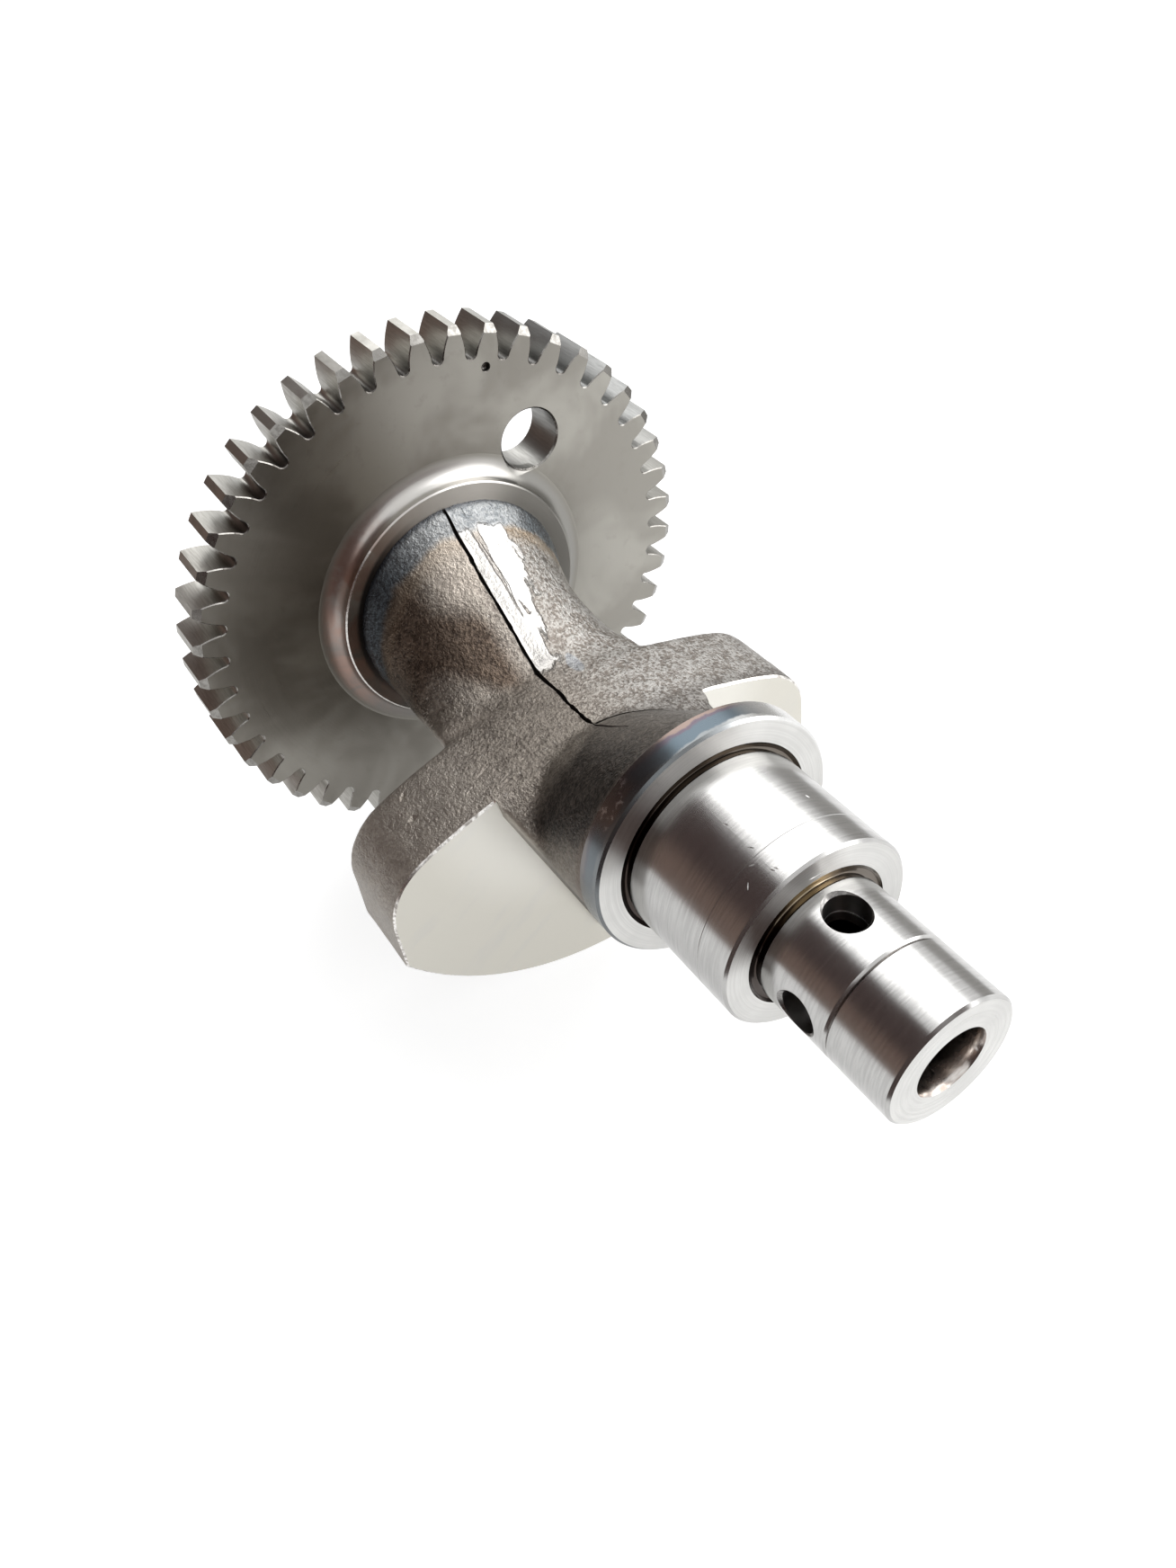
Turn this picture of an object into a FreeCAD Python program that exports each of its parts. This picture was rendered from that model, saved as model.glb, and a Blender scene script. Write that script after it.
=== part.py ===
# Balance shaft, forged and machined from one piece, in millimetres.
#
# The shaft axis is X and +Z is up. The origin is the centre of the small end face, and the
# shaft runs from there towards -X: oil-fed journal, main journal, thrust collar, hub,
# counterweight, neck, toothed wheel, rear journal. The counterweight hangs towards -Z.

import FreeCAD
import Part
import math
import os

Vector = FreeCAD.Vector

# small journal, at the origin end
SMALL_JOURNAL_DIAMETER = 20.0
SMALL_JOURNAL_LENGTH = 23.9
SMALL_JOURNAL_CHAMFER = 0.3
MARK_GROOVE_START = 10.5
MARK_GROOVE_WIDTH = 0.8
MARK_GROOVE_DEPTH = 0.25

# oil way: a blind bore from the end face, met by two cross holes
OIL_BORE_DIAMETER = 10.2
OIL_BORE_DEPTH = 31.0
DRILL_POINT_ANGLE = 118.0
CROSS_HOLE_DIAMETER = 6.0
CROSS_HOLE_MOUTH_DIAMETER = 6.7
TOP_CROSS_HOLE_STATION = 18.6
SIDE_CROSS_HOLE_STATION = 16.3

# main journal
MAIN_JOURNAL_DIAMETER = 30.0
MAIN_JOURNAL_LENGTH = 21.5
MAIN_JOURNAL_CHAMFER = 0.45
SCRIBED_LINE_START = 5.5
SCRIBED_LINE_WIDTH = 0.2
SCRIBED_LINE_DEPTH = 0.1

# thrust collar
COLLAR_DIAMETER = 39.6
COLLAR_THICKNESS = 4.5
COLLAR_CHAMFER = 0.45

# relief ground into each inner corner: along the shaft, into the face, down into the shaft
RELIEF_LENGTH = 0.7
RELIEF_RING_DEPTH = 0.5
RELIEF_SHAFT_DEPTH = 0.4
SMALL_RELIEF_DIAMETER = 22.1
MAIN_RELIEF_DIAMETER = 31.6

# forged body between the collar and the wheel
BODY_DIAMETER = 39.0
BODY_CROWN_RADIUS = 60.0
HUB_LENGTH = 24.5
HUB_TOP_RADIUS = 19.5
HUB_TOP_AT_COLLAR = 18.0
HUB_TOP_SLOPE = 34.5

# counterweight: its flat sides stand inside the rim's radius
WEIGHT_RADIUS = 48.45
WEIGHT_SIDE_INSET = 8.15
WEIGHT_THICKNESS = 16.2
WEIGHT_CROWN_RADIUS = 84.0
WEIGHT_CROWN_HEIGHT = -0.5
WEIGHT_CORNER_RADIUS = 11.5
WEIGHT_REAR_EDGE_RADIUS = 0.8

# rib from the hub down the front of the counterweight, its foot inside the weight's rim
RIB_SIDE_ANGLE = 19.5
RIB_SHOULDER_HEIGHT = -10.0
RIB_FOOT_INSET = 5.45
RIB_FOOT_THICKNESS = 2.0

# neck between the counterweight and the wheel: how high its top is and how round it is
# across, at the root on the wheel, then at the throat, waist, shoulder, heel and foot
NECK_LENGTH = 27.3
NECK_ROOT_TOP = 19.3
NECK_ROOT_ROUND = 19.8
NECK_THROAT_STATION = 4.0
NECK_THROAT_TOP = 15.5
NECK_THROAT_ROUND = 18.3
NECK_WAIST_STATION = 9.9
NECK_WAIST_TOP = 10.6
NECK_WAIST_ROUND = 18.0
NECK_SHOULDER_STATION = 17.4
NECK_SHOULDER_TOP = 4.6
NECK_SHOULDER_ROUND = 22.5
NECK_HEEL_STATION = 20.9
NECK_HEEL_TOP = 1.8
NECK_HEEL_ROUND = 30.0
NECK_FOOT_STATION = 24.6

# toothed wheel
TOOTH_COUNT = 45
TOOTH_MODULE = 2.0
PRESSURE_ANGLE = 20.0
TOOTH_ROOT_DEPTH = 3.4
TOOTH_THINNING = 0.1
WHEEL_THICKNESS = 8.45
TIP_BEVEL_RADIAL = 1.3
TIP_BEVEL_AXIAL = 0.8
TIMING_TOOTH_ANGLE = 19.75
TIMING_DIMPLE_RADIUS = 40.3
TIMING_DIMPLE_DIAMETER = 1.6
TIMING_DIMPLE_DEPTH = 0.6
WHEEL_HOLE_DIAMETER = 10.7
WHEEL_HOLE_RADIUS = 29.8
WHEEL_HOLE_ANGLE = 40.4

# boss on the front of the wheel
BOSS_DIAMETER = 44.6
BOSS_HEIGHT = 3.0
BOSS_FILLET_RADIUS = 2.5

# rear journal
REAR_SHOULDER_DIAMETER = 38.0
REAR_SHOULDER_LENGTH = 2.0
REAR_JOURNAL_DIAMETER = 30.0
REAR_JOURNAL_LENGTH = 18.0
REAR_JOURNAL_CHAMFER = 1.0

# stations along the shaft, measured from the small end face towards -X
main_front = -SMALL_JOURNAL_LENGTH
collar_front = main_front - MAIN_JOURNAL_LENGTH
collar_rear = collar_front - COLLAR_THICKNESS
weight_front = collar_rear - HUB_LENGTH
weight_rear = weight_front - WEIGHT_THICKNESS
boss_front = weight_rear - NECK_LENGTH
wheel_front = boss_front - BOSS_HEIGHT
wheel_rear = wheel_front - WHEEL_THICKNESS


def turned(points):
    """Solid of revolution about the shaft axis, from (x, radius) points."""
    wire = Part.makePolygon([Vector(x, 0, r) for x, r in points + points[:1]])
    return Part.Face(wire).revolve(Vector(0, 0, 0), Vector(1, 0, 0), 360)


def rod(x_from, x_to, radius, y=0.0, z=0.0):
    """Cylinder parallel to the shaft axis, between two stations."""
    return Part.makeCylinder(radius, x_to - x_from, Vector(x_from, y, z), Vector(1, 0, 0))


def ring_wire(x, radius, top):
    """Circle across the shaft at station x, with its highest point at height top."""
    return Part.Wire(Part.Circle(Vector(x, 0, top - radius), Vector(1, 0, 0), radius).toShape())


def on_circle(x, radius, angle):
    """Point at an angle from +Z towards +Y, in degrees, round the shaft axis."""
    turn = math.radians(angle)
    return Vector(x, radius * math.sin(turn), radius * math.cos(turn))


def relief(face, shaft_radius, ring_radius):
    """Profile points of the relief where a shaft meets a larger front face."""
    floor = shaft_radius - RELIEF_SHAFT_DEPTH
    ramp = RELIEF_LENGTH - RELIEF_SHAFT_DEPTH / 2
    return [
        (face + RELIEF_LENGTH, shaft_radius),
        (face + ramp, floor),
        (face - RELIEF_RING_DEPTH, floor),
        (face - RELIEF_RING_DEPTH, ring_radius),
        (face, ring_radius),
    ]


def front_journals():
    """Small journal, main journal and thrust collar, with their oil way."""
    small = SMALL_JOURNAL_DIAMETER / 2
    main = MAIN_JOURNAL_DIAMETER / 2
    collar = COLLAR_DIAMETER / 2
    groove = -MARK_GROOVE_START
    line = main_front - SCRIBED_LINE_START
    profile = [
        (0, 0),
        (0, small - SMALL_JOURNAL_CHAMFER),
        (-SMALL_JOURNAL_CHAMFER, small),
        (groove, small),
        (groove, small - MARK_GROOVE_DEPTH),
        (groove - MARK_GROOVE_WIDTH, small - MARK_GROOVE_DEPTH),
        (groove - MARK_GROOVE_WIDTH, small),
    ]
    profile += relief(main_front, small, SMALL_RELIEF_DIAMETER / 2)
    profile += [
        (main_front, main - MAIN_JOURNAL_CHAMFER),
        (main_front - MAIN_JOURNAL_CHAMFER, main),
        (line, main),
        (line, main - SCRIBED_LINE_DEPTH),
        (line - SCRIBED_LINE_WIDTH, main - SCRIBED_LINE_DEPTH),
        (line - SCRIBED_LINE_WIDTH, main),
    ]
    profile += relief(collar_front, main, MAIN_RELIEF_DIAMETER / 2)
    profile += [
        (collar_front, collar - COLLAR_CHAMFER),
        (collar_front - COLLAR_CHAMFER, collar),
        (collar_rear + COLLAR_CHAMFER, collar),
        (collar_rear, collar - COLLAR_CHAMFER),
        (collar_rear, 0),
    ]
    shape = turned(profile)

    bore = OIL_BORE_DIAMETER / 2
    point = bore / math.tan(math.radians(DRILL_POINT_ANGLE / 2))
    oil_way = turned([
        (bore, 0),
        (bore, bore),
        (-OIL_BORE_DEPTH, bore),
        (-OIL_BORE_DEPTH - point, 0),
    ])
    shape = shape.cut(oil_way)
    for station, way in (
        (TOP_CROSS_HOLE_STATION, Vector(0, 0, 1)),
        (SIDE_CROSS_HOLE_STATION, Vector(0, -1, 0)),
    ):
        hole = CROSS_HOLE_DIAMETER / 2
        mouth = CROSS_HOLE_MOUTH_DIAMETER / 2
        axis_point = Vector(-station, 0, 0)
        shape = shape.cut(Part.makeCylinder(hole, small + hole, axis_point, way))
        # the mouth cone is as deep as it is wide, measured down from the journal's surface
        cone_base = axis_point + way * (small - 2 * (mouth - hole))
        cone_height = 4 * (mouth - hole)
        cone = Part.makeCone(hole, hole + cone_height / 2, cone_height, cone_base, way)
        shape = shape.cut(cone)
    return shape


def hub():
    """Forged hub behind the collar: the round body with its top sloped away."""
    slope = math.tan(math.radians(HUB_TOP_SLOPE))
    front = collar_rear + COLLAR_THICKNESS / 2
    rear = weight_front - WEIGHT_THICKNESS / 2
    body = rod(rear, front, BODY_DIAMETER / 2)
    high = ring_wire(front, HUB_TOP_RADIUS, HUB_TOP_AT_COLLAR + slope * (front - collar_rear))
    low = ring_wire(rear, HUB_TOP_RADIUS, HUB_TOP_AT_COLLAR + slope * (rear - collar_rear))
    return body.common(Part.makeLoft([high, low], True, True))


def backbone():
    """Crowned lower part of the round body, from the neck's foot into the collar."""
    front = collar_rear + COLLAR_THICKNESS / 2
    foot = boss_front + NECK_FOOT_STATION
    crown_centre = WEIGHT_CROWN_HEIGHT - BODY_CROWN_RADIUS
    crown = rod(foot, front, BODY_CROWN_RADIUS, 0, crown_centre)
    return rod(foot, front, BODY_DIAMETER / 2).common(crown)


def rib():
    """Rib that narrows from the hub to the rim, on the front of the counterweight."""
    body = BODY_DIAMETER / 2
    side = math.radians(RIB_SIDE_ANGLE)
    shoulder_y = body * math.cos(side)
    shoulder_z = -body * math.sin(side)
    foot_z = RIB_FOOT_INSET - WEIGHT_RADIUS
    foot_y = shoulder_y - (shoulder_z - foot_z) * math.tan(side)
    root = weight_front - WEIGHT_THICKNESS / 2
    outline = Part.makePolygon([
        Vector(root, -shoulder_y, shoulder_z),
        Vector(root, shoulder_y, shoulder_z),
        Vector(root, foot_y, foot_z),
        Vector(root, -foot_y, foot_z),
        Vector(root, -shoulder_y, shoulder_z),
    ])
    block = Part.Face(outline).extrude(Vector(collar_front - root, 0, 0))
    # seen from the side, the rib's front slopes from the hub to the rim
    reach = WEIGHT_RADIUS
    profile = Part.makePolygon([
        Vector(root, -reach, 0),
        Vector(collar_rear, -reach, 0),
        Vector(collar_rear, -reach, RIB_SHOULDER_HEIGHT),
        Vector(weight_front + RIB_FOOT_THICKNESS, -reach, foot_z),
        Vector(root, -reach, foot_z),
        Vector(root, -reach, 0),
    ])
    return block.common(Part.Face(profile).extrude(Vector(0, 2 * reach, 0)))


def counterweight():
    """Sector of a disc with a crowned roof, flat sides and a round rim."""
    half = WEIGHT_RADIUS - WEIGHT_SIDE_INSET
    crown = WEIGHT_CROWN_HEIGHT
    roof_edge = crown - WEIGHT_CROWN_RADIUS + math.sqrt(WEIGHT_CROWN_RADIUS ** 2 - half ** 2)
    rim_edge = -math.sqrt(WEIGHT_RADIUS ** 2 - half ** 2)
    x = weight_rear
    roof = Part.Arc(Vector(x, -half, roof_edge), Vector(x, 0, crown), Vector(x, half, roof_edge))
    rim = Part.Arc(
        Vector(x, half, rim_edge), Vector(x, 0, -WEIGHT_RADIUS), Vector(x, -half, rim_edge)
    )
    sides = [
        Part.makeLine(Vector(x, half, roof_edge), Vector(x, half, rim_edge)),
        Part.makeLine(Vector(x, -half, rim_edge), Vector(x, -half, roof_edge)),
    ]
    outline = Part.Wire([roof.toShape(), sides[0], rim.toShape(), sides[1]])
    block = Part.Face(outline).extrude(Vector(WEIGHT_THICKNESS, 0, 0))
    corners = [
        edge for edge in block.Edges
        if edge.BoundBox.XLength > WEIGHT_THICKNESS / 2
        and edge.CenterOfMass.z > (roof_edge + rim_edge) / 2
    ]
    block = block.makeFillet(WEIGHT_CORNER_RADIUS, corners)
    rear = [edge for edge in block.Edges if edge.BoundBox.XMax < weight_rear + 0.001]
    return block.makeFillet(WEIGHT_REAR_EDGE_RADIUS, rear)


def neck():
    """Forged neck: the round body with its top sloped down to the counterweight."""
    start = boss_front - BOSS_HEIGHT
    foot = boss_front + NECK_FOOT_STATION
    sections = [
        ring_wire(start, NECK_ROOT_ROUND, NECK_ROOT_TOP),
        ring_wire(boss_front, NECK_ROOT_ROUND, NECK_ROOT_TOP),
        ring_wire(boss_front + NECK_THROAT_STATION, NECK_THROAT_ROUND, NECK_THROAT_TOP),
        ring_wire(boss_front + NECK_WAIST_STATION, NECK_WAIST_ROUND, NECK_WAIST_TOP),
        ring_wire(boss_front + NECK_SHOULDER_STATION, NECK_SHOULDER_ROUND, NECK_SHOULDER_TOP),
        ring_wire(boss_front + NECK_HEEL_STATION, NECK_HEEL_ROUND, NECK_HEEL_TOP),
        ring_wire(foot, BODY_CROWN_RADIUS, WEIGHT_CROWN_HEIGHT),
    ]
    body = rod(start, foot, BODY_DIAMETER / 2)
    lengths = []
    for section, following in zip(sections, sections[1:]):
        lengths.append(body.common(Part.makeLoft([section, following], True, True)))
    return lengths[0].multiFuse(lengths[1:])


def tooth_ring(x_from, x_to):
    """Toothed disc between two stations, with one tooth on the timing angle."""
    pitch = TOOTH_COUNT * TOOTH_MODULE / 2
    base = pitch * math.cos(math.radians(PRESSURE_ANGLE))
    tip = pitch + TOOTH_MODULE
    root = pitch - TOOTH_ROOT_DEPTH

    def involute(radius):
        turn = math.acos(base / radius)
        return math.degrees(math.tan(turn) - turn)

    step = 360.0 / TOOTH_COUNT
    half_at_pitch = step / 4 - math.degrees(TOOTH_THINNING / 2 / pitch)
    half_at_base = half_at_pitch + involute(pitch)
    half_at_middle = half_at_base - involute(pitch + TOOTH_MODULE / 4)
    half_at_tip = half_at_base - involute(tip)
    edges = []
    for tooth in range(TOOTH_COUNT):
        centre = TIMING_TOOTH_ANGLE + tooth * step
        base_in = on_circle(x_from, base, centre - half_at_base)
        flank_in = on_circle(x_from, pitch + TOOTH_MODULE / 4, centre - half_at_middle)
        tip_in = on_circle(x_from, tip, centre - half_at_tip)
        tip_mid = on_circle(x_from, tip, centre)
        tip_out = on_circle(x_from, tip, centre + half_at_tip)
        flank_out = on_circle(x_from, pitch + TOOTH_MODULE / 4, centre + half_at_middle)
        base_out = on_circle(x_from, base, centre + half_at_base)
        root_mid = on_circle(x_from, root, centre + step / 2)
        base_next = on_circle(x_from, base, centre + step - half_at_base)
        edges.append(Part.Arc(base_in, flank_in, tip_in).toShape())
        edges.append(Part.Arc(tip_in, tip_mid, tip_out).toShape())
        edges.append(Part.Arc(tip_out, flank_out, base_out).toShape())
        edges.append(Part.Arc(base_out, root_mid, base_next).toShape())
    disc = Part.Face(Part.Wire(edges)).extrude(Vector(x_to - x_from, 0, 0))
    blank = turned([
        (x_from, 0),
        (x_from, tip + TOOTH_MODULE),
        (x_to - TIP_BEVEL_AXIAL, tip + TOOTH_MODULE),
        (x_to - TIP_BEVEL_AXIAL, tip),
        (x_to, tip - TIP_BEVEL_RADIAL),
        (x_to, 0),
    ])
    return disc.common(blank)


def wheel():
    """Toothed wheel with its front boss, location hole and timing dimple."""
    boss = BOSS_DIAMETER / 2
    fillet = BOSS_FILLET_RADIUS
    half_turn = fillet * (1 - math.sqrt(0.5))
    root = wheel_rear + WHEEL_THICKNESS / 2
    profile = [
        Part.makeLine(Vector(root, 0, 0), Vector(boss_front, 0, 0)),
        Part.makeLine(Vector(boss_front, 0, 0), Vector(boss_front, 0, boss)),
        Part.makeLine(Vector(boss_front, 0, boss), Vector(wheel_front + fillet, 0, boss)),
        Part.Arc(
            Vector(wheel_front + fillet, 0, boss),
            Vector(wheel_front + half_turn, 0, boss + half_turn),
            Vector(wheel_front, 0, boss + fillet),
        ).toShape(),
        Part.makeLine(Vector(wheel_front, 0, boss + fillet), Vector(root, 0, boss + fillet)),
        Part.makeLine(Vector(root, 0, boss + fillet), Vector(root, 0, 0)),
    ]
    boss_solid = Part.Face(Part.Wire(profile)).revolve(Vector(0, 0, 0), Vector(1, 0, 0), 360)
    shape = tooth_ring(wheel_rear, wheel_front).fuse(boss_solid)
    hole = on_circle(0, WHEEL_HOLE_RADIUS, WHEEL_HOLE_ANGLE)
    shape = shape.cut(rod(
        wheel_rear - WHEEL_THICKNESS, wheel_front + WHEEL_THICKNESS,
        WHEEL_HOLE_DIAMETER / 2, hole.y, hole.z,
    ))
    dimple = Part.makeCone(
        0, TIMING_DIMPLE_DIAMETER, 2 * TIMING_DIMPLE_DEPTH,
        on_circle(wheel_front - TIMING_DIMPLE_DEPTH, TIMING_DIMPLE_RADIUS, TIMING_TOOTH_ANGLE),
        Vector(1, 0, 0),
    )
    return shape.cut(dimple)


def rear_journal():
    """Plain journal and its shoulder behind the wheel."""
    shoulder = REAR_SHOULDER_DIAMETER / 2
    journal = REAR_JOURNAL_DIAMETER / 2
    shoulder_rear = wheel_rear - REAR_SHOULDER_LENGTH
    end = shoulder_rear - REAR_JOURNAL_LENGTH
    return turned([
        (wheel_rear + WHEEL_THICKNESS / 2, 0),
        (wheel_rear + WHEEL_THICKNESS / 2, shoulder),
        (shoulder_rear, shoulder),
        (shoulder_rear, journal),
        (end + REAR_JOURNAL_CHAMFER, journal),
        (end, journal - REAR_JOURNAL_CHAMFER),
        (end, 0),
    ])


shaft = front_journals()
for piece in (hub(), backbone(), rib(), counterweight(), neck(), wheel(), rear_journal()):
    shaft = shaft.fuse(piece)
shaft = shaft.removeSplitter()

os.makedirs("parts", exist_ok=True)
shaft.exportStep("parts/balance_shaft.step")
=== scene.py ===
"""Balance shaft: its visible pieces and their finishes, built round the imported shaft.

The shaft axis is X and +Z is up. The origin is the centre of the small end face, and the shaft
runs from there towards -X. Sizes are in metres, and the finishes read places in millimetres.
"""

import math

import bmesh
import bpy
from mathutils import Matrix, Vector, noise


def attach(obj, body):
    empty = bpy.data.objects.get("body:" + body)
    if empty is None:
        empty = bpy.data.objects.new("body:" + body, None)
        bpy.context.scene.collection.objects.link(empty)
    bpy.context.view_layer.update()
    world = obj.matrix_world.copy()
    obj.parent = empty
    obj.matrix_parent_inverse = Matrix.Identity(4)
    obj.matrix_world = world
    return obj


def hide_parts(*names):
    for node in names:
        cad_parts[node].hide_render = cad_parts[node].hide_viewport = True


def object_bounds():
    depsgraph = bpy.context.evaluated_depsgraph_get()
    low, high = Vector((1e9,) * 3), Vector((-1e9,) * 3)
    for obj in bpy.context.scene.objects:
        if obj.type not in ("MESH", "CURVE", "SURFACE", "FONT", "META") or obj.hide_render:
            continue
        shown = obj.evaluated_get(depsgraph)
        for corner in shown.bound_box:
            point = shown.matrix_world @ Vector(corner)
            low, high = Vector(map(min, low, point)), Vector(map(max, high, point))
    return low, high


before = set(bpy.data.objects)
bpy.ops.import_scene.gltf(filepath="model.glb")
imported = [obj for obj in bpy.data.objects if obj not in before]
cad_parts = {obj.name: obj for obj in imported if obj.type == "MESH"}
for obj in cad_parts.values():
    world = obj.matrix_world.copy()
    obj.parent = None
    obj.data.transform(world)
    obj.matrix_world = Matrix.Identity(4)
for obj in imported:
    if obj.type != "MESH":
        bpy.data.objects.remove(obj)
cad_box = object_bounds()

bl_info = {
    "name": "Balance shaft",
    "version": (1, 0, 0),
    "blender": (4, 5, 0),
    "location": "3D View > Sidebar > Shaft",
    "description": "Builds a forged balance shaft with its toothed wheel, its finishes and a plain stage",
    "category": "Add Mesh",
}

MM = 0.001
NODE = "balance_shaft"
BODY = "root"

# meshes: steps of a full turn, the angle of a sharp edge, and the largest face shaded smooth
TURN_STEPS = 240
SHARP_ANGLE = math.radians(25)
FLAT_AREA = 1e-5

# forging: radius of the weight's crown, height of the hub at the collar, rib's foot inside the rim
CROWN_RADIUS = 84 * MM
HUB_TOP = 18 * MM
RIB_FOOT = 5.45 * MM

# forged skin: size of its grid, rounds of softening, and its waves and grains in cells for each metre
SKIN_GRID = 0.5 * MM
SOFTENINGS = 14
LONG_WAVE = 110
SHORT_WAVE = 260
COARSE_GRAIN = 700
FINE_GRAIN = 1300

# machining: half angle of the drill's point, depth of an undercut, and how the teeth are cut
DRILL_POINT = math.radians(59)
UNDERCUT = 0.42 * MM
PRESSURE_ANGLE = math.radians(20)
TOOTH_PLAY = 0.05 * MM
TIP_SLOPE = 0.8 / 1.3
TIMING_RADIUS = 40.3 * MM

# stage: middle of the shaft, distances of the lamps and the cards, side of a lamp
MIDDLE = -75 * MM
LAMP_DISTANCE = 0.75
LAMP_SIDE = 0.7
CARD_DISTANCE = 0.32

# camera: lens, place in millimetres, and its directions to the right, up and back
EYE_LENS = 29.394
EYE_PLACE = (54.03883, -68.91517, 132.33559)
EYE_DIRECTIONS = (
    (0.54493182, 0.8311415, -0.1106938),
    (-0.54678059, 0.45233022, 0.70457672),
    (0.6356731, -0.32342106, 0.70094117),
)

# scratches on the weight's roof: (x, y) of both ends and the half width, in millimetres
SCRATCHES = (
    (-78.1, -13.2, -78.5, -10.2, 0.26), (-76.0, -17.6, -76.8, -14.2, 0.3),
    (-76.9, -17.0, -77.5, -14.6, 0.2), (-80.5, -19.2, -81.2, -16.4, 0.2),
    (-77.2, -8.8, -77.6, -7.0, 0.2), (-73.8, -13.9, -73.6, -12.2, 0.35),
    (-82.9, -31.2, -82.1, -29.2, 0.55), (-87.0, -30.0, -88.2, -28.6, 0.4),
    (-79.0, -22.0, -79.6, -20.4, 0.18), (-74.6, -10.6, -74.9, -8.9, 0.2),
)

# nicks on the main journal: distance along X and angle in degrees of their middles, and their lean
NICKS = (
    (-26.5, -20, 0.5), (-26.3, -18, 0.3), (-27.3, -33, -0.9), (-30.9, -19, 0.7), (-33.8, 26, 0.2),
    (-35.9, -19, 0.4), (-28.8, -24, 1.2), (-40.1, 17, 0.9),
)

# top of the neck and the weight: (distance before the boss, radius across, height) in millimetres
CREST = (
    (-1.2, 19.8, 19.3), (0.0, 19.8, 19.3), (4.0, 18.3, 15.5), (9.9, 18.0, 10.6),
    (17.4, 22.5, 4.6), (20.9, 30.0, 1.8), (24.6, 60.0, -0.5), (28.0, 60.0, -0.5),
)

# short line beside the parting line: (distance before the boss, y) in millimetres
SECOND_LINE = ((0.6, 2.8), (5.8, 3.0), (9.0, 3.4), (12.0, 3.7), (14.5, 3.1))

UP = Vector((0, 0, 1))


def length(name, description, value):
    """A length that the user can change, given in millimetres."""
    return bpy.props.FloatProperty(
        name=name, description=description, default=value * MM, min=0.0, unit="LENGTH", precision=5
    )


def angle(name, description, degrees):
    """An angle that the user can change."""
    return bpy.props.FloatProperty(
        name=name, description=description, default=math.radians(degrees), subtype="ANGLE"
    )


def number(name, description, value):
    """A plain number that the user can change."""
    return bpy.props.FloatProperty(name=name, description=description, default=value, min=0.0)


def colour(name, description, value):
    """A colour that the user can change."""
    return bpy.props.FloatVectorProperty(
        name=name, description=description, default=value, size=3, min=0.0, max=1.0, subtype="COLOR"
    )


class JournalSizes(bpy.types.PropertyGroup):
    small_diameter: length("Small journal", "Diameter of the oil-fed journal", 20.0)
    small_length: length("Small journal length", "Length of the oil-fed journal", 23.9)
    main_diameter: length("Main journal", "Diameter of the main journal", 30.0)
    main_length: length("Main journal length", "Length of the main journal", 21.5)
    collar_diameter: length("Collar", "Diameter of the thrust collar", 39.6)
    collar_thickness: length("Collar thickness", "Thickness of the thrust collar", 4.5)
    bore_diameter: length("Oil bore", "Diameter of the bore in the end face", 10.2)
    bore_depth: length("Oil bore depth", "Depth of the bore, without its point", 31.0)
    cross_hole_diameter: length("Cross hole", "Diameter of the two oil holes", 6.0)
    top_hole_station: length("Top hole station", "Distance of the top hole from the end", 18.6)
    side_hole_station: length("Side hole station", "Distance of the side hole from the end", 16.3)
    mark_start: length("Mark groove start", "Distance of the mark groove from the end", 10.5)
    mark_width: length("Mark groove width", "Width of the mark groove", 0.8)
    chamfer: length("Chamfer", "Edge chamfer of the journals and the collar", 0.4)


class ForgingSizes(bpy.types.PropertyGroup):
    body_diameter: length("Body", "Diameter of the forged body", 39.0)
    hub_length: length("Hub length", "From the collar to the counterweight", 24.5)
    neck_length: length("Neck length", "From the counterweight to the wheel's boss", 27.3)
    weight_radius: length("Weight radius", "Radius of the counterweight's rim", 48.45)
    weight_side_inset: length("Side inset", "How far the sides stand inside the rim", 8.15)
    weight_thickness: length("Weight thickness", "Thickness of the counterweight", 16.2)
    weight_corner: length("Weight corner", "Radius of the counterweight's shoulders", 11.5)
    crown_drop: length("Crown drop", "How far the weight's crown lies below the axis", 0.5)
    rib_side_angle: angle("Rib side angle", "Lean of the rib's flanks", 19.5)
    hub_slope: angle("Hub slope", "Slope of the hub's top", 34.5)
    parting_width: length("Parting line width", "Width of the forging's parting line", 0.66)
    parting_depth: length("Parting line depth", "Depth of the forging's parting line", 0.6)
    skin_wave: length("Skin wave", "Height of the long waves of the forged skin", 0.16)
    skin_grain: length("Skin grain", "Height of the short grain of the forged skin", 0.02)


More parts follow.
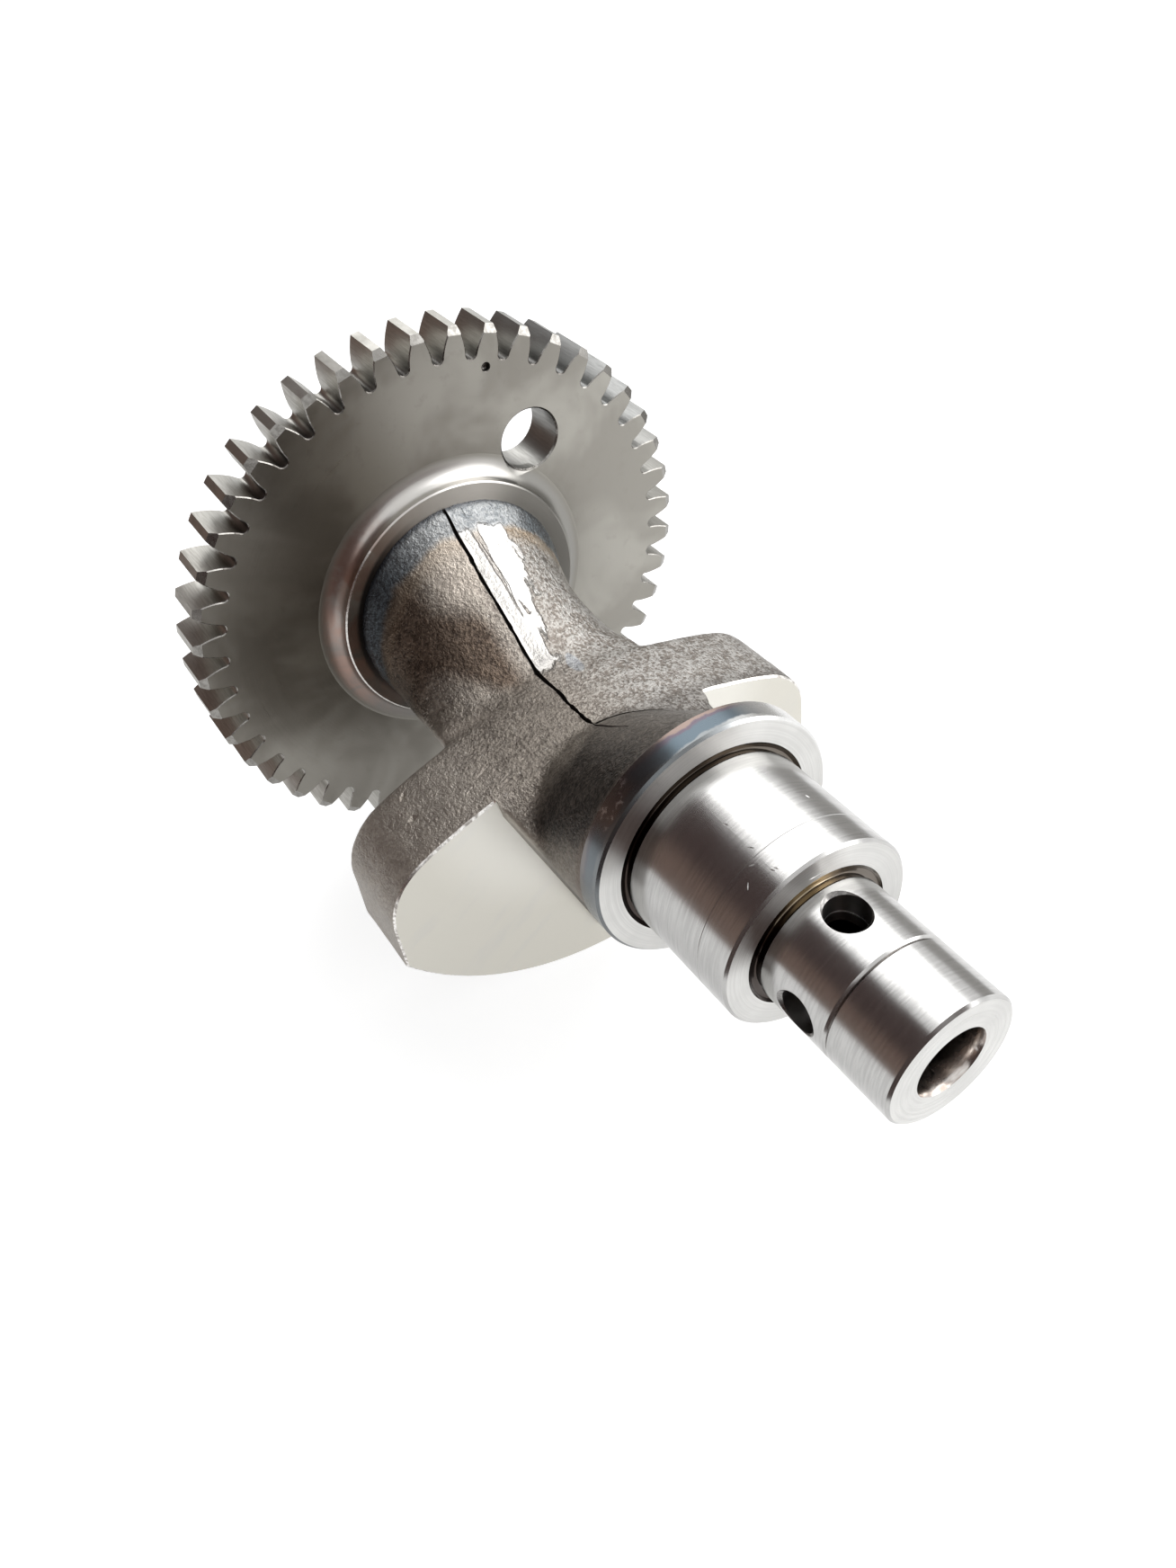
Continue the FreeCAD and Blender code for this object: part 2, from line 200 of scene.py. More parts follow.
class WheelSizes(bpy.types.PropertyGroup):
    teeth: bpy.props.IntProperty(
        name="Teeth", description="Number of teeth", default=45, min=12, max=120
    )
    module: length("Module", "Pitch diameter for each tooth", 2.0)
    root_depth: length("Root depth", "Depth of the tooth gaps below the pitch circle", 3.4)
    thickness: length("Thickness", "Thickness of the toothed wheel", 8.45)
    tip_bevel: length("Tip bevel", "Radial size of the bevel on the tooth tips", 1.3)
    edge_bevel: length("Edge bevel", "Bevel along the front edge of the teeth", 0.17)
    timing_angle: angle("Timing angle", "Angle of the marked tooth from the top", 19.75)
    hole_diameter: length("Hole", "Diameter of the hole through the wheel", 10.7)
    hole_radius: length("Hole distance", "Distance of the hole from the axis", 29.8)
    hole_angle: angle("Hole angle", "Angle of the hole from the top", 40.4)
    boss_diameter: length("Boss", "Diameter of the boss in front of the wheel", 44.6)
    boss_height: length("Boss height", "How far the boss stands from the wheel", 3.0)
    boss_fillet: length("Boss fillet", "Fillet between the boss and the wheel", 2.5)
    shoulder_diameter: length("Rear shoulder", "Diameter of the shoulder behind the wheel", 38.0)
    shoulder_length: length("Rear shoulder length", "Length of the rear shoulder", 2.0)
    rear_diameter: length("Rear journal", "Diameter of the rear journal", 30.0)
    rear_length: length("Rear journal length", "Length of the rear journal", 18.0)
    rear_chamfer: length("Rear chamfer", "Chamfer at the rear end", 1.0)


class FinishColours(bpy.types.PropertyGroup):
    ground_steel: colour("Ground steel", "Journals and other ground faces", (0.54, 0.535, 0.525))
    turned_steel: colour("Turned steel", "Turned end faces", (0.76, 0.755, 0.735))
    milled_steel: colour("Milled steel", "Milled face of the counterweight", (0.71, 0.69, 0.625))
    wheel_steel: colour("Wheel steel", "Faces of the toothed wheel", (0.36, 0.345, 0.31))
    skin_dark: colour("Dark skin", "Hollows of the forged skin", (0.18, 0.157, 0.137))
    skin_light: colour("Light skin", "High places of the forged skin", (0.335, 0.3, 0.26))
    tint_blue: colour("Blue tint", "Hot end of the heat tint", (0.085, 0.108, 0.126))
    tint_gold: colour("Gold tint", "Cool end of the heat tint", (0.33, 0.25, 0.17))


class StageSettings(bpy.types.PropertyGroup):
    floor_colour: colour("Floor", "Colour of the floor", (0.5, 0.5, 0.5))
    floor_glow: number("Floor glow", "Light that the seen floor adds to its colour", 0.75)
    window_power: number("Window power", "Power of the soft window light", 3.1)
    side_power: number("Side power", "Power of the soft light at the right", 4.6)
    room_level: number("Room level", "Level of the room's light on the floor", 0.45)
    floor_size: length("Floor size", "Half the width of the floor", 900.0)


GROUPS = {
    "shaft_journals": JournalSizes,
    "shaft_forging": ForgingSizes,
    "shaft_wheel": WheelSizes,
    "shaft_finish": FinishColours,
    "shaft_stage": StageSettings,
}


class Stations:
    """Places along the shaft, from the small end face at 0 towards -X."""

    def __init__(self, scene):
        journals = scene.shaft_journals
        forging = scene.shaft_forging
        wheel = scene.shaft_wheel
        self.main_front = -journals.small_length
        self.collar_front = self.main_front - journals.main_length
        self.collar_rear = self.collar_front - journals.collar_thickness
        self.weight_front = self.collar_rear - forging.hub_length
        self.weight_rear = self.weight_front - forging.weight_thickness
        self.boss_front = self.weight_rear - forging.neck_length
        self.wheel_front = self.boss_front - wheel.boss_height
        self.wheel_rear = self.wheel_front - wheel.thickness
        self.rear_end = self.wheel_rear - wheel.shoulder_length - wheel.rear_length


# meshes


def piece_from(name, bm):
    """A linked object that holds a finished bmesh, which is freed."""
    mesh = bpy.data.meshes.new(name)
    bm.to_mesh(mesh)
    bm.free()
    piece = bpy.data.objects.new(name, mesh)
    bpy.context.scene.collection.objects.link(piece)
    return piece


def discard(piece):
    """Removes an object and its mesh."""
    mesh = piece.data
    bpy.data.objects.remove(piece)
    bpy.data.meshes.remove(mesh)


def settle(piece):
    """Applies a piece's modifiers to its mesh."""
    bpy.context.view_layer.update()
    graph = bpy.context.evaluated_depsgraph_get()
    mesh = bpy.data.meshes.new_from_object(piece.evaluated_get(graph), depsgraph=graph)
    old = piece.data
    piece.modifiers.clear()
    piece.data = mesh
    bpy.data.meshes.remove(old)


def combine(piece, tool, operation, solver="EXACT"):
    """Cuts a piece with a tool, or keeps what they share, and removes the tool."""
    step = piece.modifiers.new("cut", "BOOLEAN")
    step.operation = operation
    step.solver = solver
    step.object = tool
    settle(piece)
    discard(tool)
    if not piece.data.polygons:
        raise RuntimeError(f"cutting {piece.name} left nothing")


def turned(points, steps=TURN_STEPS):
    """Closed turned shape about X, from (x, radius) points that start and end on the axis."""
    bm = bmesh.new()
    verts = [bm.verts.new((x, 0.0, r)) for x, r in points]
    edges = [bm.edges.new(pair) for pair in zip(verts, verts[1:])]
    bmesh.ops.spin(
        bm, geom=verts + edges, cent=(0, 0, 0), axis=(1, 0, 0), dvec=(0, 0, 0),
        angle=math.tau, steps=steps, use_merge=True, use_normal_flip=False, use_duplicate=False,
    )
    bmesh.ops.remove_doubles(bm, verts=bm.verts, dist=1e-7)
    bmesh.ops.recalc_face_normals(bm, faces=bm.faces)
    return bm


def bar(x_from, x_to, radius, steps=TURN_STEPS):
    """Closed round bar about X."""
    return turned([(x_from, 0), (x_from, radius), (x_to, radius), (x_to, 0)], steps)


def draw_out(bm, face, reach):
    """Extrudes a flat face along X and closes the shape."""
    made = bmesh.ops.extrude_face_region(bm, geom=[face])
    moved = [item for item in made["geom"] if isinstance(item, bmesh.types.BMVert)]
    bmesh.ops.translate(bm, verts=moved, vec=(reach, 0, 0))
    bmesh.ops.recalc_face_normals(bm, faces=bm.faces)


def prism(outline, x_from, x_to):
    """Closed prism along X, from the (y, z) points of its outline."""
    bm = bmesh.new()
    face = bm.faces.new([bm.verts.new((x_from, y, z)) for y, z in outline])
    draw_out(bm, face, x_to - x_from)
    return bm


def lofted(rings, segments=160):
    """Closed shape through circles across the shaft, from (x, radius, top) of each."""
    bm = bmesh.new()
    last = len(rings) - 1
    before = None
    for place, (x, radius, top) in enumerate(rings):
        across = Matrix.Translation((x, 0, top - radius)) @ Matrix.Rotation(math.pi / 2, 4, "Y")
        made = bmesh.ops.create_circle(
            bm, cap_ends=place in (0, last), segments=segments, radius=radius, matrix=across
        )
        edges = list({edge for vert in made["verts"] for edge in vert.link_edges})
        if before:
            bmesh.ops.bridge_loops(bm, edges=before + edges)
        before = edges
    bmesh.ops.recalc_face_normals(bm, faces=bm.faces)
    return bm


def bevel_end(bm, faces, width, drop):
    """Insets flat end faces and drops their outer edge along X, but not at the foot of a wall."""
    made = bmesh.ops.inset_region(
        bm, faces=faces, thickness=width, depth=0.0, use_even_offset=True, use_boundary=True
    )
    inner = {vert for face in faces for vert in face.verts}
    outer = {vert for face in made["faces"] for vert in face.verts} - inner
    for vert in outer:
        if all(edge.other_vert(vert).co.x < vert.co.x + abs(drop) / 4 for edge in vert.link_edges):
            vert.co.x -= drop


def wedges(name, runs):
    """Wedges that cut grooves along runs of (place, outward, half width, depth)."""
    bm = bmesh.new()
    above = 0.6 * MM
    for run in runs:
        last = len(run) - 1
        corners = []
        for step, (place, out, half, depth) in enumerate(run):
            along = run[min(step + 1, last)][0] - run[max(step - 1, 0)][0]
            side = along.cross(out).normalized() * half * (above + depth) / depth
            top = place + out * above
            corners.append((top - side, top + side, place - out * depth))
        first = bm.faces.new([bm.verts.new(corner) for corner in corners[0]])
        face = first
        for before, now in zip(corners, corners[1:]):
            made = bmesh.ops.extrude_face_region(bm, geom=[face])
            if face is not first:
                bm.faces.remove(face)
            face = [item for item in made["geom"] if isinstance(item, bmesh.types.BMFace)][0]
            for vert in face.verts:
                vert.co = now[min(range(3), key=lambda k: (vert.co - Vector(before[k])).length)]
    bmesh.ops.recalc_face_normals(bm, faces=bm.faces)
    return piece_from(name, bm)


def rounded(points, radius, steps=4):
    """The same run of (x, r) points with its inner corners rounded."""
    made = [points[0]]
    for before, corner, after in zip(points, points[1:], points[2:]):
        corner = Vector(corner)
        back = Vector(before) - corner
        on = Vector(after) - corner
        reach = min(radius, back.length * 0.49, on.length * 0.49)
        start = corner + back.normalized() * reach
        end = corner + on.normalized() * reach
        for step in range(steps + 1):
            t = step / steps
            made.append(tuple((1 - t) ** 2 * start + 2 * t * (1 - t) * corner + t * t * end))
    made.append(points[-1])
    return made


def undercut(face, shaft, ring):
    """(x, r) points of the relief groove where a shaft meets a face."""
    floor = shaft - UNDERCUT
    return rounded([
        (face + 0.95 * MM, shaft), (face + 0.45 * MM, floor), (face - 0.45 * MM, floor),
        (face - 0.55 * MM, ring - 0.35 * MM), (face, ring + 0.1 * MM),
    ], 0.4 * MM)


def round_the_axis(radius, turn):
    """(y, z) of a point at an angle from +Z towards +Y."""
    return radius * math.sin(turn), radius * math.cos(turn)


def arc(y, z, radius, start, end, steps):
    """(y, z) points of an arc about a centre, by angles from +Z towards +Y."""
    turns = [start + (end - start) * step / steps for step in range(steps + 1)]
    return [(y + radius * math.sin(turn), z + radius * math.cos(turn)) for turn in turns]


def dress(piece, finishes, zone):
    """Gives each face the finish that zone(centre, normal) names, and shades it smooth."""
    names = list(finishes)
    piece.data.materials.clear()
    for finish in finishes.values():
        piece.data.materials.append(finish.material)
    for face in piece.data.polygons:
        face.use_smooth = face.area < FLAT_AREA
        face.material_index = names.index(zone(face.center, face.normal))
    piece.data.set_sharp_from_angle(angle=SHARP_ANGLE)
    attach(piece, BODY)
    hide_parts(NODE)


# finishes


class Nodes:
    """Node tree of a finish or of the room, with short calls for its nodes."""

    def __init__(self, owner):
        owner.use_nodes = True
        self.nodes = owner.node_tree.nodes
        self.links = owner.node_tree.links
        self.nodes.clear()

    def feed(self, socket, value):
        """Links or sets one input, and leaves it for None."""
        if isinstance(value, bpy.types.NodeSocket):
            self.links.new(value, socket)
        elif value is not None:
            if socket.type == "RGBA" and len(value) == 3:
                value = (*value, 1.0)
            socket.default_value = value

    def node(self, kind, *values, **settings):
        """A node with its settings, and with values for its first inputs."""
        node = self.nodes.new("ShaderNode" + kind)
        for name, value in settings.items():
            setattr(node, name, value)
        for socket, value in zip(node.inputs, values):
            self.feed(socket, value)
        return node

    def maths(self, operation, a, b=None, c=None):
        """One maths node."""
        return self.node("Math", a, b, c, operation=operation).outputs[0]

    def times(self, *values):
        """Product of several values."""
        product = values[0]
        for value in values[1:]:
            product = self.maths("MULTIPLY", product, value)
        return product

    def scaled(self, value, factor, added):
        """Value times a factor, with something added."""
        return self.maths("MULTIPLY_ADD", value, factor, added)

    def less(self, value, taken):
        """Value less another."""
        return self.maths("SUBTRACT", value, taken)

    def rays(self):
        """1 for what the camera sees, and 1 for what is mirrored or seen through glass."""
        path = self.node("LightPath").outputs
        mirrored = self.maths("MAXIMUM", path["Is Glossy Ray"], path["Is Transmission Ray"])
        return path["Is Camera Ray"], mirrored


class Finish(Nodes):
    """Node tree of one finish, which reads places on the shaft in millimetres."""

    def __init__(self, name, metallic=1.0):
        self.material = bpy.data.materials.new(name)
        super().__init__(self.material)
        self.shader = self.node("BsdfPrincipled")
        self.node("OutputMaterial", self.shader.outputs["BSDF"])
        self.sets("Metallic", metallic)
        self.base = None
        self.place = self.node("TexCoord").outputs["Object"]
        in_mm = self.node("VectorMath", self.place, (1 / MM,) * 3, operation="MULTIPLY")
        self.x, self.y, self.z = self.node("SeparateXYZ", in_mm.outputs[0]).outputs

    def sets(self, name, value):
        """Links or sets one input of the shader."""
        self.feed(self.shader.inputs[name], value)

    def paint(self, colour):
        """Gives the shader its base colour."""
        self.base = colour
        self.sets("Base Color", colour)

    def coat(self, over, *shares):
        """Lays a colour over the base colour, by the product of its shares."""
        self.paint(self.mix(self.times(*shares), self.base, over))

    def turn(self):
        """Angle round the shaft from +Z towards +Y, in radians."""
        return self.maths("ARCTAN2", self.y, self.z)

    def radius(self):
        """Distance from the shaft axis."""
        return self.maths("SQRT", self.scaled(self.y, self.y, self.times(self.z, self.z)))

    def span(self, value, low, high, to_low=0.0, to_high=1.0):
        """Value carried softly from one range to another, held at its ends."""
        return self.node(
            "MapRange", value, low, high, to_low, to_high, interpolation_type="SMOOTHSTEP", clamp=True
        ).outputs[0]

    def band(self, value, start, full, last, end):
        """1 where the value lies between full and last, fading out to start and end."""
        return self.times(self.span(value, start, full), self.span(value, end, last))

    def spot(self, x, y, half_x, half_y):
        """Squared distance from an oval spot's middle, seen from above, where 1 is its edge."""
        out = self.times(self.less(self.x, x), 1 / half_x)
        aside = self.times(self.less(self.y, y), 1 / half_y)
        return self.scaled(out, out, self.times(aside, aside))

    def vector(self, x, y, z):
        """Vector of three values."""
        return self.node("CombineXYZ", x, y, z).outputs[0]

    def grain(self, scale, detail=3.0, rough=0.55, vector=None, bend=0.0):
        """Noise, about 0.5 on average, at a scale in cells for each metre."""
        node = self.node("TexNoise", vector or self.place)
        for name, value in (("Scale", scale), ("Detail", detail), ("Roughness", rough), ("Distortion", bend)):
            self.feed(node.inputs[name], value)
        return node.outputs["Fac"]

    def streaks(self, x, y, z=0.0, detail=4.0, rough=0.6):
        """Noise drawn out along the coordinates that change least."""
        return self.grain(1.0, detail, rough, self.vector(x, y, z))

    def swing(self, grain, size, about):
        """Noise turned into a swing about a value, of this size from end to end."""
        return self.scaled(self.less(grain, 0.5), size, about)

    def mix(self, share, a, b):
        """Colour between a and b."""
        node = self.node("Mix", share, data_type="RGBA")
        self.feed(node.inputs[6], a)
        self.feed(node.inputs[7], b)
        return node.outputs[2]

    def fade(self, value, low, high, a, b):
        """Colour that goes from a to b as the value goes from low to high."""
        return self.mix(self.span(value, low, high), a, b)

    def leaning(self, lean):
        """The face's normal, leaned away from the axis as the feed marks of a turned face lean it."""
        out = self.node("VectorMath", self.vector(0.0, self.y, self.z), operation="NORMALIZE")
        normal = self.place.node.outputs["Normal"]
        leaned = self.node("VectorMath", out.outputs[0], (lean,) * 3, normal, operation="MULTIPLY_ADD")
        return self.node("VectorMath", leaned.outputs[0], operation="NORMALIZE").outputs[0]

    def bump(self, height, distance, normal=None):
        """Feeds the shader a bumped normal, for a distance in metres."""
        node = self.node("Bump")
        for name, value in (("Distance", distance), ("Height", height), ("Normal", normal)):
            self.feed(node.inputs[name], value)
        self.sets("Normal", node.outputs["Normal"])


def darker(tone, share):
    """The same colour at a share of its light."""
    return [share * part for part in tone]


def ground_finish(name, tone, roughness=0.22):
    """Ground round surface: fine lines round the shaft and a few nicks."""
    finish = Finish(name)
    lines = finish.streaks(finish.times(finish.x, 2.8), finish.times(finish.turn(), 2.0))
    cloud = finish.grain(140.0)
    worn = finish.scaled(lines, 0.7, finish.times(cloud, 0.3))
    finish.paint(finish.fade(worn, 0.4, 0.6, tone, darker(tone, 0.86)))
    dull = finish.span(cloud, 0.3, 0.7, roughness - 0.02, roughness + 0.03)
    finish.sets("Roughness", finish.swing(lines, 0.05, dull))
    finish.sets("Anisotropic", 0.15)
    finish.sets("Tangent", finish.vector(1.0, 0.0, 0.0))
    long_nicks = finish.vector(finish.x, finish.times(finish.y, 2.6), finish.z)
    cells = finish.node("TexVoronoi", long_nicks)
    cells.inputs["Scale"].default_value = 0.26
    chosen = finish.span(finish.grain(90.0, detail=1.0), 0.6, 0.66)
    dents = finish.times(finish.span(cells.outputs["Distance"], 0.0, 0.075, 1.0, 0.0), chosen)
    finish.bump(finish.scaled(lines, 0.04, finish.times(dents, -0.8)), 0.00002)
    return finish


def faced_finish(name, tone, roughness, lines=4.2, stretch=0.6, lean=0.0):
    """Turned flat face: fine rings about the axis, which draw reflections out along the radius."""
    finish = Finish(name)
    rings = finish.streaks(finish.times(finish.radius(), lines), finish.times(finish.turn(), 0.8))
    finish.paint(finish.fade(finish.grain(120.0), 0.3, 0.7, tone, darker(tone, 0.88)))
    finish.coat(darker(tone, 0.8), finish.span(rings, 0.42, 0.62, 0.0, 0.5))
    finish.sets("Roughness", finish.swing(rings, 0.12, roughness))
    finish.sets("Anisotropic", stretch)
    finish.sets("Tangent", finish.vector(0.0, finish.y, finish.z))
    finish.bump(rings, 0.000012, finish.leaning(lean) if lean else None)
    return finish


def undercut_finish(main_front):
    """Glossy undercut in an inner corner, gold on top as heat tint and painted highlight, and near black on
    its left as painted shade.
    """
    finish = Finish("undercut")
    # stain is the turn round the shaft with some noise; it sets where the painted shade falls
    stain = finish.swing(finish.grain(260.0), 1.2, finish.turn())
    gold = finish.fade(finish.x, main_front - 3, main_front - 8, (0.34, 0.285, 0.205), (0.14, 0.12, 0.1))
    gold = finish.fade(stain, 0.1, 0.6, gold, (0.15, 0.13, 0.11))
    # painted shade near black on the left, gold tint and painted highlight elsewhere
    finish.paint(finish.fade(stain, -0.95, -0.25, (0.05, 0.038, 0.033), gold))
    finish.sets("Roughness", 0.16)
    return finish


def drilled_finish():
    """Drilled wall of a bore: glossy and drawn round by the drill, pale at the mouth and darker deeper in,
    which is painted shade.
    """
    finish = Finish("drilled_wall")
    turn = finish.times(finish.turn(), 1.1)
    lines = finish.streaks(finish.times(finish.x, 0.7), turn, detail=3.0, rough=0.55)
    mouth = finish.fade(lines, 0.35, 0.65, (0.68, 0.65, 0.62), (0.3, 0.245, 0.215))
    # painted shade: the wall is painted darker deeper inside the bore
    painted_recess_shade = finish.fade(lines, 0.4, 0.6, (0.2, 0.15, 0.13), (0.06, 0.048, 0.045))
    finish.paint(finish.fade(finish.x, -1.6, -6.5, mouth, painted_recess_shade))
    finish.sets("Roughness", finish.span(lines, 0.3, 0.7, 0.14, 0.3))
    finish.bump(lines, 0.00003)
    return finish


def cross_finish():
    """Reamed walls of the cross holes, with a painted highlight line a little above the bore and painted
    shade below it.
    """
    finish = Finish("cross_hole_wall")
    reach = finish.radius()
    finish.paint(finish.mix(finish.grain(900.0), (0.27, 0.26, 0.25), (0.17, 0.163, 0.157)))
    # painted shade deeper towards the bore, and a painted highlight line just above it
    finish.coat((0.06, 0.055, 0.05), finish.span(reach, 6.4, 6.3, 0.0, 0.7))
    finish.coat((0.9, 0.9, 0.9), finish.band(reach, 6.35, 6.5, 6.65, 6.8))
    finish.sets("Roughness", 0.42)
    return finish


def collar_finish(tones, collar_front):
    """Ground collar rim with the heat tint that runs along its rear edge, painted shade on its left and
    painted light on its right.
    """
    finish = ground_finish("collar_rim", tones.ground_steel, 0.26)
    turn = finish.turn()
    behind = finish.less(collar_front, finish.swing(finish.grain(240.0, bend=0.6), 2.2, finish.x))
    # painted light and shade: plain is dark on the left of the rim and pale on its right
    plain = finish.fade(turn, 0.1, 0.4, (0.17, 0.18, 0.185), (0.7, 0.7, 0.69))
    purple = (0.1, 0.082, 0.1)
    gold_red = (0.19, 0.145, 0.128)
    finish.paint(plain)
    finish.coat(tones.tint_blue, finish.span(behind, 0.7, 1.1))
    finish.coat(purple, finish.span(behind, 2.8, 3.3))
    finish.coat(gold_red, finish.span(behind, 3.4, 3.8))
    finish.coat((0.2, 0.215, 0.225), finish.span(turn, -0.2, -0.45), 0.55)
    scorch = finish.fade(finish.grain(900.0), 0.56, 0.66, (0.19, 0.17, 0.16), (0.5, 0.5, 0.5))
    finish.coat(scorch, finish.band(turn, -1.05, -0.85, -0.66, -0.52), finish.span(behind, 0.6, 1.6))
    finish.paint(finish.mix(finish.band(turn, -1.9, -1.2, 0.25, 0.6), plain, finish.base))
    return finish


def brown_scale(finish, cover, broad):
    """Brown scale on the neck's left: a slanting stripe down to the roof and a patch beside the wheel, and a
    painted sheen just left of the parting line.
    """
    x, y = finish.x, finish.y
    pale_foot = finish.span(finish.less(x, y), -82, -76)
    finish.coat((0.42, 0.37, 0.325), pale_foot, finish.span(x, -89, -92, 0.0, 0.45))
    # painted highlight: a pale band just left of the parting line
    painted_sheen = finish.band(y, -9.5, -6, -0.2, 0.2)
    finish.coat((0.6, 0.53, 0.46), painted_sheen, finish.span(x, -103, -109), 0.45)
    slant = finish.scaled(broad, 5, finish.scaled(y, -0.94, x))
    stripe = finish.span(finish.maths("ABSOLUTE", finish.less(slant, -91.5)), 9.0, 3.4)
    patch = finish.span(finish.scaled(broad, 1.2, finish.spot(-109.5, -15.5, 9, 6.5)), 1.9, 0.9)
    rust = finish.fade(cover, 0.38, 0.62, (0.045, 0.029, 0.02), (0.13, 0.09, 0.064))
    on_neck = finish.times(finish.span(y, -0.8, -4.5), finish.span(x, -90, -95))
    finish.coat(rust, finish.maths("MAXIMUM", stripe, patch), on_neck, 0.88)


def dark_hub(finish, cover, broad, weight_front):
    """Dark scale and painted shade on the hub, darkest on its left, with a paler flank at its left."""
    x, y = finish.x, finish.y
    ahead = finish.less(x, finish.span(finish.turn(), -0.65, -1.3, 0.0, 8))
    ahead = finish.scaled(broad, 3, ahead)
    # partly dark scale and partly painted shade, strongest on the hub's left
    black = finish.fade(cover, 0.42, 0.62, (0.012, 0.01, 0.009), (0.095, 0.082, 0.072))
    scale_and_shade_share = finish.times(finish.span(y, -9, -1, 0.97, 0.55), finish.span(y, -19.4, -16.5, 0.2, 1.0))
    finish.coat(black, finish.span(ahead, weight_front - 3.5, weight_front + 3), scale_and_shade_share)
    flank = finish.times(finish.span(y, -17.5, -19), finish.band(x, -74, -72, -66, -60))
    finish.coat((0.6, 0.56, 0.5), flank, 0.5)


def heat_tint(finish, tones, cover, along, boss_front, collar_rear):
    """Heat tint by the wheel's boss, blue-grey with a gold-brown border and brown at the collar; painted
    shade on its lower left and at the boss.
    """
    turn = finish.turn()
    border = boss_front + 4.0
    gold = finish.band(along, border - 0.9, border, border + 0.2, border + 3.0)
    finish.coat(tones.tint_gold, gold, finish.span(turn, 0.2, 0.8, 0.3, 0.65))
    # painted shade on the lower left of the tint
    painted_shade_side = finish.span(turn, -0.5, -1.0, 0.0, 0.6)
    finish.coat((0.05, 0.042, 0.037), finish.span(along, border + 2.0, border), painted_shade_side)
    worn = finish.fade(cover, 0.36, 0.64, (0.19, 0.21, 0.225), (0.4, 0.412, 0.42))
    blue = finish.fade(cover, 0.36, 0.64, (0.03, 0.036, 0.044), tones.tint_blue)
    blue = finish.mix(finish.band(turn, -0.9, 0.12, 0.6, 0.95), blue, worn)
    finish.coat(blue, finish.span(along, border + 0.4, border - 1.0), 0.85)
    # painted shade in the corner where the neck meets the boss
    painted_junction_shade = finish.span(finish.x, boss_front + 1.1, boss_front + 0.2, 0.0, 0.75)
    finish.coat((0.03, 0.035, 0.045), painted_junction_shade)
    finish.coat((0.17, 0.13, 0.11), finish.span(along, collar_rear - 2.7, collar_rear - 1.2), 0.55)


def worn_strip(finish, along, boss_front, weight_rear):
    """Worn bright strip on the neck's top, with a duller island and a bluish smear below it."""
    x, y = finish.x, finish.y
    span, scaled = finish.span, finish.scaled
    ragged = finish.less(finish.streaks(finish.times(x, 0.23), finish.times(y, 0.42), rough=0.62), 0.5)
    edge = scaled(ragged, 7.0, span(x, boss_front + 8, weight_rear - 5, 8.8, 4.8))
    island = scaled(finish.less(x, -111), 0.06, finish.maths("ABSOLUTE", finish.less(y, 3.1)))
    island = span(scaled(ragged, 1.6, island), 0.75, 0.35)
    strip = finish.times(
        span(y, 0.2, 0.35), span(y, edge, finish.less(edge, 0.8)),
        scaled(island, -0.6, 1.0), span(ragged, -0.2, -0.14),
        span(scaled(ragged, 9.0, x), weight_rear - 1.0, weight_rear - 3.0),
        span(along, boss_front + 2.6, boss_front + 3.6),
    )
    smear = span(scaled(ragged, 1.6, finish.spot(-91.6, 6.2, 2.6, 1.3)), 1.1, 0.5)
    finish.coat((0.4, 0.45, 0.51), smear, 0.4)
    finish.coat((0.42, 0.41, 0.395), strip, 0.8)
    return strip


def skin_finish(tones, at):
    """Shot-blasted forged skin, with brown and dark scale, heat tint, a strip worn bright, and painted shade
    and sheen in places.
    """
    finish = Finish("forged_skin", metallic=0.8)
    y = finish.y
    weight_rear = at.weight_rear / MM
    boss_front = at.boss_front / MM
    broad = finish.grain(85.0, detail=2.0)
    patch = finish.grain(430.0, detail=4.0, rough=0.6)
    fine = finish.grain(1800.0, rough=0.65)
    cover = finish.scaled(fine, 0.65, finish.times(patch, 0.35))
    light = finish.fade(y, -4, 14, tones.skin_light, (0.42, 0.408, 0.388))
    finish.paint(finish.fade(cover, 0.42, 0.58, tones.skin_dark, light))
    finish.coat((0.55, 0.52, 0.48), finish.span(finish.grain(1500.0), 0.6, 0.7, 0.0, 0.5))
    finish.coat((0.07, 0.058, 0.05), finish.span(finish.grain(1000.0), 0.4, 0.3, 0.0, 0.6))
    # the roof is duller just left of the parting line and paler further out
    roof = finish.span(finish.x, weight_rear - 8, weight_rear - 1)
    finish.coat((0.11, 0.095, 0.08), roof, finish.band(y, -22, -9, -0.2, 0.2), 0.4)
    finish.coat((0.42, 0.385, 0.345), roof, finish.span(y, -14, -24), 0.5)
    brown_scale(finish, cover, broad)
    dark_hub(finish, cover, broad, at.weight_front / MM)
    along = finish.swing(finish.grain(200.0), 2.6, finish.x)
    heat_tint(finish, tones, cover, along, boss_front, at.collar_rear / MM)
    strip = worn_strip(finish, along, boss_front, weight_rear)
    rough = finish.scaled(roof, 0.13, finish.span(patch, 0.3, 0.7, 0.25, 0.34))
    finish.sets("Roughness", finish.scaled(strip, -0.16, rough))
    height = finish.scaled(patch, 1.2, fine)
    finish.bump(finish.times(height, finish.span(strip, 0.0, 1.0, 1.0, 0.25)), 0.00026)
    return finish


def crease_finish():
    """Dark scale and painted shade in the parting line and in the crease behind the hub."""
    finish = Finish("dark_scale_and_shade")
    finish.paint(finish.mix(finish.grain(1800.0), (0.012, 0.011, 0.01), (0.05, 0.044, 0.04)))
    finish.sets("Roughness", 0.5)
    return finish


